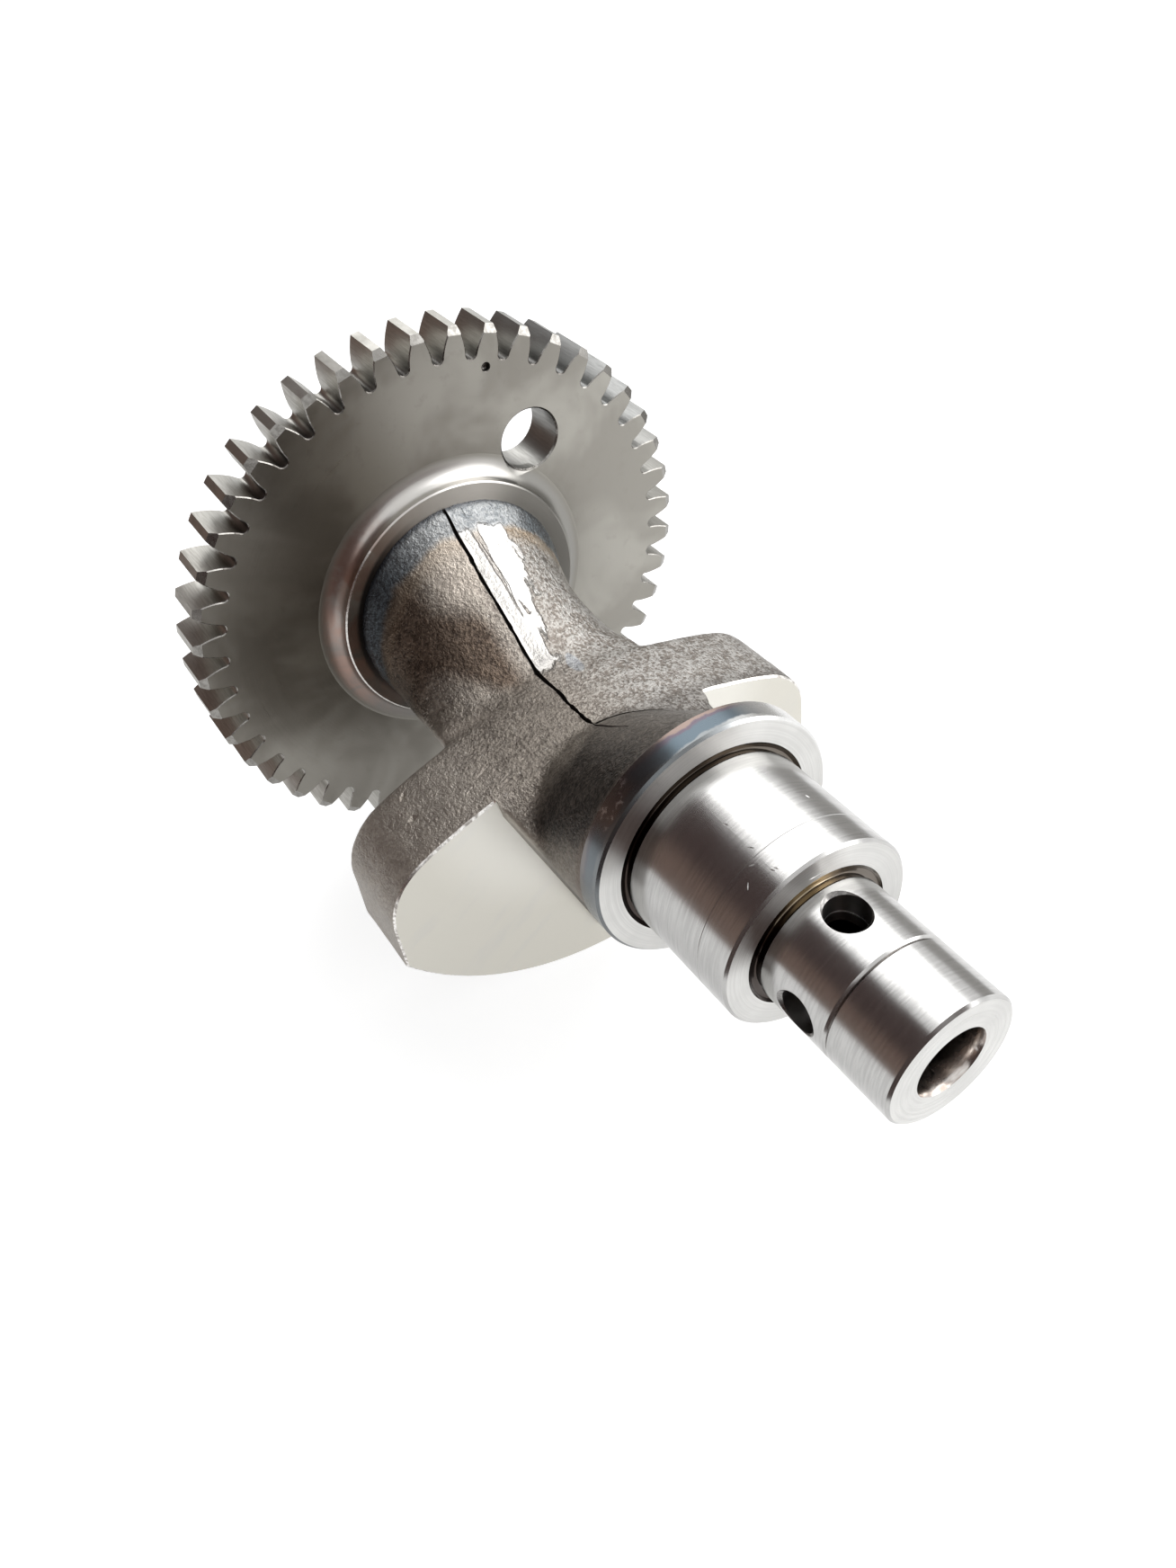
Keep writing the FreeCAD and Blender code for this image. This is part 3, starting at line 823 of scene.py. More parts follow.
def milled_finish(tones):
    """Milled face of the counterweight: pale, with faint wide smears and painted light near the hub."""
    finish = Finish("milled_face")
    y, z = finish.y, finish.z
    reach = finish.radius()
    lines = finish.streaks(finish.times(reach, 3.0), finish.times(finish.turn(), 1.2), rough=0.65)
    slant = finish.scaled(y, 1.8, finish.times(z, -2.4))
    smear = finish.grain(0.06, vector=finish.vector(slant, finish.times(z, 0.9), y))
    finish.paint(tones.milled_steel)
    finish.coat((0.55, 0.555, 0.58), finish.span(smear, 0.5, 0.75, 0.0, 0.2))
    # painted light: paler near the hub, where its reflection is shaded
    finish.coat((0.9, 0.885, 0.83), finish.span(reach, 36, 24, 0.0, 0.6))
    finish.sets("Roughness", finish.scaled(lines, 0.1, 0.34))
    finish.sets("Anisotropic", 0.3)
    finish.sets("Tangent", finish.vector(0.0, y, z))
    finish.bump(lines, 0.000001)
    return finish


def wheel_finish(tones):
    """Turned face of the toothed wheel, with oily stains, darker towards the bottom, painted shade on its
    upper left and painted light on its lower right.
    """
    finish = faced_finish("wheel_face", tones.wheel_steel, 0.3, 2.6, 0.35)
    broad = finish.grain(48.0, rough=0.6, bend=0.4)
    finish.paint(finish.fade(broad, 0.4, 0.62, (0.245, 0.23, 0.203), tones.wheel_steel))
    finish.coat((0.2, 0.185, 0.16), finish.span(finish.grain(420.0), 0.55, 0.75, 0.0, 0.25))
    finish.coat((0.16, 0.15, 0.133), finish.span(finish.z, -14, -34, 0.0, 0.3))
    # painted light and shade: darker on the left and top (dull), lighter on the lower right
    side = finish.scaled(finish.maths("MAXIMUM", finish.z, 0.0), -0.45, finish.y)
    dull = finish.mix(0.08, finish.base, (0.12, 0.11, 0.1))
    painted_light_side = finish.mix(0.28, finish.base, (0.5, 0.49, 0.455))
    finish.paint(finish.fade(finish.scaled(broad, 30, side), -20, 58, dull, painted_light_side))
    return finish


def flank_finish(wheel_front):
    """Cut tooth flanks and gaps, smoother than the wheel's face, with painted shade on the upper right teeth
    and in the upper gaps.
    """
    finish = Finish("tooth_flank")
    x, turn, reach = finish.x, finish.turn(), finish.radius()
    feed_marks = [finish.times(x, 0.3), finish.times(reach, 4.2), finish.times(turn, 30.0)]
    lines = finish.streaks(*feed_marks, detail=3.0, rough=0.55)
    finish.paint(finish.fade(lines, 0.3, 0.7, (0.46, 0.45, 0.42), (0.36, 0.35, 0.32)))
    # painted shade: bluish and darker on the upper right teeth
    finish.coat((0.17, 0.18, 0.19), finish.span(finish.y, 8, 30), finish.span(finish.z, 0, 22), 0.6)
    # painted shade deep in the upper gaps
    painted_recess_shade = finish.times(finish.span(reach, 44.2, 41.6), finish.span(x, wheel_front - 6, wheel_front - 1))
    finish.coat((0.05, 0.046, 0.043), painted_recess_shade, finish.band(turn, -1.25, -0.75, 0.5, 0.9), 0.85)
    finish.sets("Roughness", finish.span(lines, 0.3, 0.7, 0.36, 0.46))
    finish.bump(lines, 0.000015)
    return finish


def boss_finish(tones, boss, spread):
    """Turned boss and its fillet, with a coppery cast at its left, painted light at its top and upper left,
    painted shade elsewhere and in its inner corner at the left, fading into the wheel's face.
    """
    finish = faced_finish("boss_steel", tones.wheel_steel, 0.36, 3.0, 0.35)
    turn = finish.turn()
    reach = finish.radius()
    left = finish.band(turn, -2.6, -1.6, -0.9, -0.1)
    stain = finish.span(finish.grain(160.0, bend=0.5), 0.35, 0.6, 0.1, 0.75)
    finish.paint(finish.fade(reach, boss - 0.3, boss + 0.1, (0.6, 0.58, 0.545), (0.6, 0.585, 0.56)))
    # painted light and shade: pale at the top and upper left, darker on the right and lower left
    finish.coat((0.19, 0.185, 0.17), finish.span(turn, 0.3, 0.8), 0.8)
    finish.coat((0.13, 0.12, 0.11), finish.span(turn, -0.9, -1.7), 0.85)
    finish.coat((0.4, 0.25, 0.2), left, stain)
    # painted shade in the corner at the neck, on the left
    finish.coat((0.07, 0.065, 0.065), finish.span(reach, boss - 1.7, boss - 2.5), left)
    away = finish.span(reach, boss + 0.55 * spread, boss + spread)
    finish.coat((0.3, 0.287, 0.258), away)
    finish.sets("Roughness", finish.scaled(away, 0.1, 0.31))
    return finish


def edge_finish(name, light, dark):
    """Brushed bevels and sheared edges, unlike what they border; some are painted pale as painted highlight
    or dark as painted shade.
    """
    finish = Finish(name)
    mottle = finish.grain(1500.0)
    finish.paint(finish.fade(mottle, 0.35, 0.7, light, dark))
    finish.sets("Roughness", finish.span(mottle, 0.3, 0.7, 0.2, 0.34))
    return finish


# operators


class ShaftOperator(bpy.types.Operator):
    """One step of building the balance shaft"""

    bl_options = {"REGISTER", "UNDO"}

    @classmethod
    def poll(cls, context):
        return context.scene is not None


class SHAFT_OT_front_journals(ShaftOperator):
    """Turn the small journal, the main journal and the thrust collar, with their oil way"""

    bl_idname = "shaft.front_journals"
    bl_label = "Front journals"

    def profile(self, at, sizes):
        """(x, radius) points from the point of the bore, round the outside, to the collar's rear."""
        small = sizes.small_diameter / 2
        main = sizes.main_diameter / 2
        collar = sizes.collar_diameter / 2
        bore = sizes.bore_diameter / 2
        chamfer = sizes.chamfer
        mouth = 0.35 * MM
        point = bore / math.tan(DRILL_POINT)
        mark = -sizes.mark_start
        mark_end = mark - sizes.mark_width
        line = at.main_front - 5.5 * MM
        return [
            (-sizes.bore_depth - point, 0), (-sizes.bore_depth, bore - 0.2 * MM),
            (-4.5 * MM, bore - 0.2 * MM), (-2.6 * MM, bore - 0.13 * MM), (-1.3 * MM, bore),
            (-mouth, bore + 0.15 * MM), (0, bore + mouth),
            (0, small - chamfer), (-chamfer, small), (mark, small),
            (mark - 0.12 * MM, small - 0.2 * MM), (mark - 0.28 * MM, small - 0.28 * MM),
            (mark - 0.45 * MM, small - 0.26 * MM), (mark_end + 0.12 * MM, small - 0.08 * MM),
            (mark_end, small), *undercut(at.main_front, small, small + 1.05 * MM),
            (at.main_front, main - chamfer), (at.main_front - chamfer, main), (line, main),
            (line - 0.05 * MM, main - 0.07 * MM), (line - 0.15 * MM, main - 0.07 * MM),
            (line - 0.2 * MM, main), *undercut(at.collar_front, main, main + 0.8 * MM),
            (at.collar_front, collar - chamfer), (at.collar_front - chamfer, collar),
            (at.collar_rear + chamfer, collar), (at.collar_rear, collar - chamfer), (at.collar_rear, 0),
        ]

    def drill_across(self, piece, sizes):
        """Drills and countersinks the two oil holes, from the top and from the side."""
        hole = sizes.cross_hole_diameter / 2
        small = sizes.small_diameter / 2
        over = small + 2 * MM
        drill = [(0, 0), (0, hole), (small - 0.5 * MM, hole), (over, hole + 2.5 * MM), (over, 0)]
        for station, axis in ((sizes.top_hole_station, "Y"), (sizes.side_hole_station, "Z")):
            tool = turned(drill, 96)
            aim = Matrix.Translation((-station, 0, 0)) @ Matrix.Rotation(-math.pi / 2, 4, axis)
            bmesh.ops.transform(tool, matrix=aim, verts=tool.verts)
            combine(piece, piece_from("drill", tool), "DIFFERENCE")

    def nick(self, piece, radius):
        """Cuts the small nicks into the main journal."""
        cuts = []
        for x, degrees, lean in NICKS:
            cut = []
            for part, half in ((-1, 0.04), (0, 0.12), (1, 0.04)):
                turn = math.radians(degrees + 1.5 * lean * part)
                out = Vector((0, math.sin(turn), math.cos(turn)))
                place = out * radius + Vector(((x + 0.35 * part) * MM, 0, 0))
                cut.append((place, out, half * MM, half * 0.6 * MM))
            cuts.append(cut)
        combine(piece, wedges("nicks", cuts), "DIFFERENCE")

    def execute(self, context):
        sizes = context.scene.shaft_journals
        tones = context.scene.shaft_finish
        at = Stations(context.scene)
        small = sizes.small_diameter / 2
        main = sizes.main_diameter / 2
        bore = sizes.bore_diameter / 2
        mark = -sizes.mark_start
        piece = piece_from("front_journals", turned(self.profile(at, sizes)))
        self.drill_across(piece, sizes)
        self.nick(piece, main)
        steel = tones.turned_steel
        finishes = {
            "ground": ground_finish("ground_steel", tones.ground_steel),
            "faced": faced_finish("turned_face", steel, 0.36, stretch=0.95, lean=0.2),
            "end": faced_finish("end_face", darker(steel, 0.96), 0.26, 2.4, 0.1),
            "chamfer": edge_finish("hole_chamfer", (0.3, 0.29, 0.28), (0.2, 0.195, 0.19)),
            "undercut": undercut_finish(at.main_front / MM),
            # painted shade: the near wall of the mark groove is painted dark
            "mark": edge_finish("mark_groove_shade", (0.15, 0.14, 0.13), (0.1, 0.09, 0.085)),
            "drilled": drilled_finish(),
            "cross": cross_finish(),
            "rim": collar_finish(tones, at.collar_front / MM),
        }

        def zone(centre, normal):
            reach = math.hypot(centre.y, centre.z)
            for face, shaft, ring in ((at.main_front, small, 1.15 * MM), (at.collar_front, main, 0.9 * MM)):
                near_face = face - 0.6 * MM < centre.x < face + 0.9 * MM
                if near_face and shaft - 0.5 * MM < reach < shaft + ring:
                    if reach < shaft - 0.01 * MM or centre.x < face - 0.01 * MM:
                        return "undercut"
            out = (centre.y * normal.y + centre.z * normal.z) / max(reach, 1e-9)
            across = mark - 1.5 * MM > centre.x > at.main_front + 1 * MM
            if out < 0.95 and reach > bore + 0.05 * MM and across:
                return "cross" if out < 0.6 else "chamfer"
            if abs(normal.x) > 0.95:
                return "end" if centre.x > -1 * MM else "faced"
            if reach < bore + 0.25 * MM:
                return "drilled"
            if mark - 0.4 * MM < centre.x < mark and bore < reach < small - 0.05 * MM:
                return "mark"
            if centre.x < at.collar_front - 0.1 * MM and reach > main + 2 * MM:
                return "rim"
            return "ground"

        dress(piece, finishes, zone)
        return {"FINISHED"}


def crest(at, forging):
    """(x, radius, top) along the body's top: the neck's fall, then the weight's crown."""
    start = at.boss_front
    knots = [(x, 1 / radius, top) for x, radius, top in CREST]
    run = [(start + CREST[0][0] * MM, CREST[0][1] * MM, CREST[0][2] * MM)]
    for before, this, after, beyond in zip(knots, knots[1:], knots[2:], knots[3:]):
        span = after[0] - this[0]
        steps = max(2, round(span / 0.9))
        for step in range(steps):
            t = step / steps
            here = []
            for k in (1, 2):
                slope_in = (after[k] - before[k]) / (after[0] - before[0]) * span
                slope_out = (beyond[k] - this[k]) / (beyond[0] - this[0]) * span
                here.append(
                    (2 * t ** 3 - 3 * t ** 2 + 1) * this[k] + (t ** 3 - 2 * t ** 2 + t) * slope_in
                    + (3 * t ** 2 - 2 * t ** 3) * after[k] + (t ** 3 - t ** 2) * slope_out
                )
            run.append((start + (this[0] + t * span) * MM, MM / here[0], here[1] * MM))
    return run + [(start + CREST[-2][0] * MM, CREST[-2][1] * MM, -forging.crown_drop)]


def roof_height(forging, y):
    """Height of the weight's crowned roof beside the middle."""
    return -forging.crown_drop - CROWN_RADIUS + math.sqrt(CROWN_RADIUS ** 2 - y * y)


def rib_corners(forging, radius):
    """(y, z) of the rib's shoulder on a body of this radius, and of its foot."""
    side = forging.rib_side_angle
    shoulder = (radius * math.cos(side), -radius * math.sin(side))
    foot_z = RIB_FOOT - forging.weight_radius
    return shoulder, (shoulder[0] + (foot_z - shoulder[1]) * math.tan(side), foot_z)


class SHAFT_OT_forged_body(ShaftOperator):
    """Forge the neck, hub, rib and counterweight in one piece, and mill the weight's front"""

    bl_idname = "shaft.forged_body"
    bl_label = "Forged body"

    def rib(self, at, sizes):
        """Tapering rib whose front leans back from the collar to the rim."""
        shoulder, foot = rib_corners(sizes, sizes.body_diameter / 2)
        outline = [(-shoulder[0], shoulder[1]), shoulder, foot, (-foot[0], foot[1])]
        rib = prism(outline, at.weight_front - 8 * MM, at.collar_rear)
        top = Vector((at.collar_rear, 0, -10 * MM))
        low = Vector((at.weight_front + 2 * MM, 0, foot[1]))
        cut = bmesh.ops.bisect_plane(
            rib, geom=rib.verts[:] + rib.edges[:] + rib.faces[:], plane_co=top,
            plane_no=Vector((0, 1, 0)).cross(top - low), clear_outer=True,
        )
        open_edges = [item for item in cut["geom_cut"] if isinstance(item, bmesh.types.BMEdge)]
        bmesh.ops.contextual_create(rib, geom=open_edges)
        bmesh.ops.recalc_face_normals(rib, faces=rib.faces)
        return piece_from("rib", rib)

    def weight(self, at, sizes):
        """Counterweight with a crowned roof, rounded shoulders, flat sides and a round rim."""
        half = sizes.weight_radius - sizes.weight_side_inset
        corner = sizes.weight_corner
        reach = half - corner
        centre = -sizes.crown_drop - CROWN_RADIUS
        roof_end = math.asin(reach / (CROWN_RADIUS - corner))
        corner_z = centre + math.sqrt((CROWN_RADIUS - corner) ** 2 - reach ** 2)
        rim = sizes.weight_radius + 1 * MM
        rim_start = math.pi - math.asin(half / rim)
        right = arc(0, centre, CROWN_RADIUS, 0.0, roof_end, 12)
        right += arc(reach, corner_z, corner, roof_end, math.pi / 2, 10)[1:]
        right += arc(0, 0, rim, rim_start, math.pi, 24)
        left = [(-y, z) for y, z in right[1:-1]]
        weight = prism(right + left[::-1], at.weight_rear, at.weight_front + 1.2 * MM)
        rear = [
            edge for edge in weight.edges
            if all(abs(vert.co.x - at.weight_rear) < 1e-6 for vert in edge.verts)
        ]
        bmesh.ops.bevel(
            weight, geom=rear, offset=0.8 * MM, offset_type="OFFSET", affect="EDGES", segments=3,
            profile=0.5, material=-1,
        )
        return piece_from("weight", weight)

    def rough_forging(self, at, sizes):
        """The forms of the forging, each closed, as one mesh of overlapping shells."""
        radius = sizes.body_diameter / 2
        into_collar = at.collar_rear + 1.5 * MM
        spine = piece_from("spine", bar(at.boss_front - 1 * MM, into_collar, radius))
        falls = crest(at, sizes) + [(into_collar + 1 * MM, 60 * MM, -sizes.crown_drop)]
        combine(spine, piece_from("crest", lofted(falls)), "INTERSECT")
        hub_rear = at.weight_front - 8 * MM
        hub = piece_from("hub", bar(hub_rear, into_collar, radius))
        slope = math.tan(sizes.hub_slope)
        ends = [
            (x, radius, HUB_TOP + slope * (x - at.collar_rear))
            for x in (hub_rear - 1 * MM, into_collar + 1 * MM)
        ]
        combine(hub, piece_from("slope", lofted(ends)), "INTERSECT")
        whole = bmesh.new()
        for part in (spine, hub, self.rib(at, sizes), self.weight(at, sizes)):
            whole.from_mesh(part.data)
            discard(part)
        return piece_from("forged_body", whole)

    def roughen(self, piece, at, sizes):
        """Softens the inner corners and raises the grain of the forged skin."""
        bm = bmesh.new()
        bm.from_mesh(piece.data)
        for _ in range(SOFTENINGS):
            bmesh.ops.smooth_vert(
                bm, verts=bm.verts, factor=0.5, use_axis_x=True, use_axis_y=True, use_axis_z=True
            )
        bm.normal_update()
        moves = []
        for vert in bm.verts:
            spot = vert.co
            wave = noise.noise(spot * LONG_WAVE)
            wave += 0.5 * noise.noise(spot * SHORT_WAVE + Vector((7, 1, 3)))
            grain = noise.noise(spot * COARSE_GRAIN)
            grain += 0.8 * noise.noise(spot * FINE_GRAIN + Vector((1, 5, 2)))
            height = sizes.skin_wave * wave * 0.7 + sizes.skin_grain * grain
            on_strip = 0.25 * MM < spot.y < 6 * MM and at.boss_front < spot.x < at.weight_rear - 3 * MM
            if on_strip and vert.normal.z > 0.3:
                height = 0.25 * height - 0.08 * MM
            moves.append(vert.normal * height)
        for vert, move in zip(bm.verts, moves):
            vert.co += move
        bm.to_mesh(piece.data)
        bm.free()

    def parting_line(self, at, sizes, falls):
        """Wedge along the top of the neck, the roof and the foot of the hub."""
        meet = at.collar_rear - (HUB_TOP + sizes.crown_drop) / math.tan(sizes.hub_slope)
        end = meet + 11 * MM
        roof = meet - 1 * MM - at.weight_rear
        places = [(x, top) for x, _, top in falls]
        places += [(at.weight_rear + roof * part / 14, -sizes.crown_drop) for part in range(3, 15)]
        places += [(meet, 0.1 * MM), (meet + 2 * MM, 0.9 * MM), (meet + 6 * MM, 3.5 * MM), (end, 6.9 * MM)]
        line = []
        for x, top in places:
            fade = min(1.0, max(0.15, (end - x) / (9 * MM)))
            wide = sizes.parting_width / 2 * (1 + 0.8 * noise.noise(Vector((x * 700, 3, 1)))) * fade
            aside = 0.3 * MM * noise.noise(Vector((x * 380, 0.5, 0.5)))
            line.append((Vector((x, aside, top)), UP, wide, sizes.parting_depth * fade))
        return wedges("parting_line", [line])

    def second_line(self, at, falls):
        """Wedge for the shorter line beside the parting line, on the neck's top."""
        line = []
        for out, aside in SECOND_LINE:
            x = at.boss_front + out * MM
            y = aside * MM
            for (x0, r0, top0), (x1, r1, top1) in zip(falls, falls[1:]):
                if x0 <= x <= x1:
                    t = (x - x0) / (x1 - x0)
                    bend = r0 + t * (r1 - r0)
                    top = top0 + t * (top1 - top0) - bend + math.sqrt(bend * bend - y * y)
                    line.append((Vector((x, y, top)), UP, 0.17 * MM, 0.22 * MM))
                    break
        return wedges("second_line", [line])

    def scratches(self, sizes):
        """Wedges for the scratches on the weight's roof, widest in their middles."""
        strokes = []
        for *ends, half in SCRATCHES:
            x, y, on_x, on_y = (each * MM for each in ends)
            start = Vector((x, y, roof_height(sizes, y)))
            end = Vector((on_x, on_y, roof_height(sizes, on_y)))
            strokes.append([
                (start, UP, 0.05 * MM, 0.03 * MM), ((start + end) / 2, UP, 1.2 * half * MM, half * MM),
                (end, UP, 0.05 * MM, 0.03 * MM),
            ])
        return wedges("scratches", strokes)

    def crease(self, at, sizes):
        """Wedge for the crease where the roof runs into the hub."""
        radius = sizes.body_diameter / 2
        line = []
        for part in range(9):
            y = (0.3 + 12.5 * part / 8) * MM
            roof = roof_height(sizes, y)
            top = roof + radius - math.sqrt(radius * radius - y * y)
            x = at.collar_rear + (top - HUB_TOP) / math.tan(sizes.hub_slope)
            fade = 1 - 0.85 * part / 8
            place = Vector((x + 0.4 * MM, y, roof + 0.3 * MM))
            line.append((place, UP, 0.3 * MM * fade, 0.55 * MM * fade))
        return wedges("crease", [line])

    def mill_tool(self, at, sizes):
        """Block that takes the allowance off the weight's front, round the rib."""
        radius = sizes.body_diameter / 2 + 0.05 * MM
        far = 60 * MM
        right = [(far, -far), (far, 6 * MM), (radius, 6 * MM), (radius, 0)]
        for turn in (math.radians(6), math.radians(12)):
            right.append((radius * math.cos(turn), -radius * math.sin(turn)))
        right += rib_corners(sizes, radius)
        left = [(-y, z) for y, z in right]
        return piece_from("mill", prism(right + left[::-1], at.weight_front, at.weight_front + 12 * MM))

    def break_edges(self, piece, at):
        """Breaks the edge all round the milled face."""
        bm = bmesh.new()
        bm.from_mesh(piece.data)

        def front():
            return [
                face for face in bm.faces
                if face.normal.x > 0.999
                and abs(face.calc_center_median().x - at.weight_front) < 0.01 * MM
            ]

        def weld(distance):
            edge = list({vert for face in front() for vert in face.verts})
            bmesh.ops.remove_doubles(bm, verts=edge, dist=distance)
            bm.normal_update()

        bmesh.ops.dissolve_faces(bm, faces=front())
        weld(distance=0.3 * MM)
        bevel_end(bm, front(), width=0.34 * MM, drop=0.32 * MM)
        weld(distance=0.42 * MM)
        bm.to_mesh(piece.data)
        bm.free()

    def execute(self, context):
        sizes = context.scene.shaft_forging
        tones = context.scene.shaft_finish
        at = Stations(context.scene)
        piece = self.rough_forging(at, sizes)
        step = piece.modifiers.new("skin", "REMESH")
        step.mode = "VOXEL"
        step.voxel_size = SKIN_GRID
        settle(piece)
        self.roughen(piece, at, sizes)
        gauge = bar(at.boss_front - 4 * MM, at.collar_rear + 4 * MM, sizes.weight_radius, 360)
        combine(piece, piece_from("gauge", gauge), "INTERSECT", "MANIFOLD")
        falls = crest(at, sizes)[1:]
        for tool in (
            self.mill_tool(at, sizes), self.parting_line(at, sizes, falls), self.second_line(at, falls),
            self.scratches(sizes), self.crease(at, sizes),
        ):
            combine(piece, tool, "DIFFERENCE", "MANIFOLD")
        self.break_edges(piece, at)
        finishes = {
            "skin": skin_finish(tones, at),
            "milled": milled_finish(tones),
            # partly painted highlight: the broken edge round the milled face is painted almost white
            "edge": edge_finish("sheared_edge_and_highlight", (0.95, 0.93, 0.9), (0.4, 0.37, 0.34)),
            "crease": crease_finish(),
            "rim": faced_finish("turned_rim", tones.turned_steel, 0.3, 1.8, 0.3),
        }

        def zone(centre, normal):
            ahead = centre.x - at.weight_front
            if normal.x > 0.999 and abs(ahead) < 0.01 * MM:
                return "milled"
            if abs(ahead + 0.16 * MM) < 0.155 * MM and 0.3 < normal.x < 0.995:
                return "edge"
            on_line = abs(centre.y) < 5.2 * MM and ahead < 8 * MM and centre.z > -2 * MM
            if on_line and abs(normal.y) > 0.72:
                return "crease"
            at_hub = 0 < centre.y < 14 * MM and -4 * MM < centre.z < 1 * MM
            if at_hub and 0.2 * MM < abs(ahead) < 5 * MM and normal.x > 0.6:
                return "crease"
            on_rim = math.hypot(centre.y, centre.z) > sizes.weight_radius - 0.02 * MM
            return "rim" if on_rim and abs(normal.x) < 0.05 else "skin"

        dress(piece, finishes, zone)
        return {"FINISHED"}


class SHAFT_OT_toothed_wheel(ShaftOperator):
    """Cut the toothed wheel, with its hole, its timing mark and its boss"""

    bl_idname = "shaft.toothed_wheel"
    bl_label = "Toothed wheel"

    def outline(self, bm, x, sizes):
        """Front outline of one tooth and gap, turned round the wheel by a spin."""
        pitch = sizes.teeth * sizes.module / 2
        base = pitch * math.cos(PRESSURE_ANGLE)
        tip = pitch + sizes.module
        root = pitch - sizes.root_depth
        step = math.tau / sizes.teeth
        middle = sizes.timing_angle

        def involute(radius):
            turn = math.acos(base / radius)
            return math.tan(turn) - turn

        half_at_base = step / 4 - TOOTH_PLAY / pitch + involute(pitch)
        gap_half = base * math.sin(step / 2 - half_at_base)
        sag = base * math.cos(step / 2 - half_at_base) - root
        bend = (gap_half ** 2 + sag ** 2) / (2 * sag)
        sweep = math.acos((bend - sag) / bend)
        run = []
        for part in range(7):
            turn = sweep * part / 6
            across = bend * math.sin(turn)
            up = root + bend - bend * math.cos(turn)
            run.append((math.hypot(across, up), middle - step / 2 + math.atan2(across, up)))
        for part in (0.1, 0.25, 0.42, 0.6, 0.78, 0.9, 1.0):
            radius = base + (tip - base) * part
            run.append((radius, middle - (half_at_base - involute(radius))))
        run += [(tip, middle)] + [(radius, 2 * middle - turn) for radius, turn in reversed(run)]
        verts = [bm.verts.new((x, *round_the_axis(radius, turn))) for radius, turn in run]
        return verts + [bm.edges.new(pair) for pair in zip(verts, verts[1:])]

    def drill(self, at, sizes):
        """Tool for the hole through the wheel, with its two broken edges."""
        hole = sizes.hole_diameter / 2
        front = at.wheel_front
        broken = 0.3 * MM
        drill = turned([
            (at.wheel_rear - 1 * MM, 0), (at.wheel_rear - 1 * MM, hole + 1 * MM + broken),
            (at.wheel_rear + broken, hole), (front - broken, hole),
            (front + 1 * MM, hole + 1 * MM + broken), (front + 1 * MM, 0),
        ], 128)
        place = (0, *round_the_axis(sizes.hole_radius, sizes.hole_angle))
        bmesh.ops.translate(drill, verts=drill.verts, vec=place)
        return piece_from("drill", drill)

    def teeth(self, at, sizes):
        """Toothed disc with its bevelled edges and tips."""
        front = at.wheel_front
        tip = sizes.teeth * sizes.module / 2 + sizes.module
        bm = bmesh.new()
        bmesh.ops.spin(
            bm, geom=self.outline(bm, front, sizes), cent=(0, 0, 0), axis=(1, 0, 0), dvec=(0, 0, 0),
            angle=math.tau, steps=sizes.teeth, use_merge=False, use_normal_flip=False, use_duplicate=True,
        )
        bmesh.ops.remove_doubles(bm, verts=bm.verts, dist=1e-6)
        made = bmesh.ops.contextual_create(bm, geom=bm.edges[:])
        draw_out(bm, made["faces"][0], -sizes.thickness)
        for place, bevel, drop in (
            (front, sizes.edge_bevel, 0.14 * MM), (at.wheel_rear, 0.15 * MM, -0.12 * MM),
        ):
            ends = [
                face for face in bm.faces
                if len(face.verts) > 100 and abs(face.calc_center_median().x - place) < 1e-5
            ]
            bevel_end(bm, ends, bevel, drop)
        piece = piece_from("toothed_wheel", bm)
        over = tip + 1.5 * MM
        inside = tip - sizes.tip_bevel
        ahead = front + TIP_SLOPE * 3 * MM
        blank = turned([
            (at.wheel_rear - 4 * MM, 0), (at.wheel_rear - 4 * MM, over),
            (front - TIP_SLOPE * (over - inside), over), (ahead, inside - 3 * MM), (ahead, 0),
        ], 360)
        combine(piece, piece_from("blank", blank), "INTERSECT")
        return piece

    def boss(self, at, sizes, tones):
        """Boss in front of the wheel, with the fillet that runs out into the wheel's face."""
        front = at.wheel_front
        boss = sizes.boss_diameter / 2
        fillet = sizes.boss_fillet
        spread = fillet + 1.1 * MM
        run = [(at.boss_front, 0), (at.boss_front, boss - 0.25 * MM), (at.boss_front - 0.2 * MM, boss)]
        for part in range(13):
            turn = math.pi / 2 * part / 12
            run.append((front + fillet * (1 - math.sin(turn)), boss + spread * (1 - math.cos(turn))))
        run += [
            (front - 0.15 * MM, boss + spread + 0.4 * MM), (front - 2 * MM, boss + spread),
            (front - 2 * MM, 0),
        ]
        ring = piece_from("wheel_boss", turned(run))
        finishes = {
            "boss": boss_finish(tones, boss / MM, spread / MM),
            "edge": edge_finish("boss_edge_and_highlight", (0.75, 0.73, 0.7), (0.6, 0.57, 0.54)),
        }
        combine(ring, self.drill(at, sizes), "DIFFERENCE")

        def zone(centre, normal):
            # painted highlight: only the edge on the left and lower side gets the pale edge finish
            painted_highlight_side = centre.y < -0.8 * centre.z
            on_edge = 0.5 < normal.x < 0.9 and centre.x > at.boss_front - 0.25 * MM
            return "edge" if on_edge and painted_highlight_side else "boss"

        dress(ring, finishes, zone)

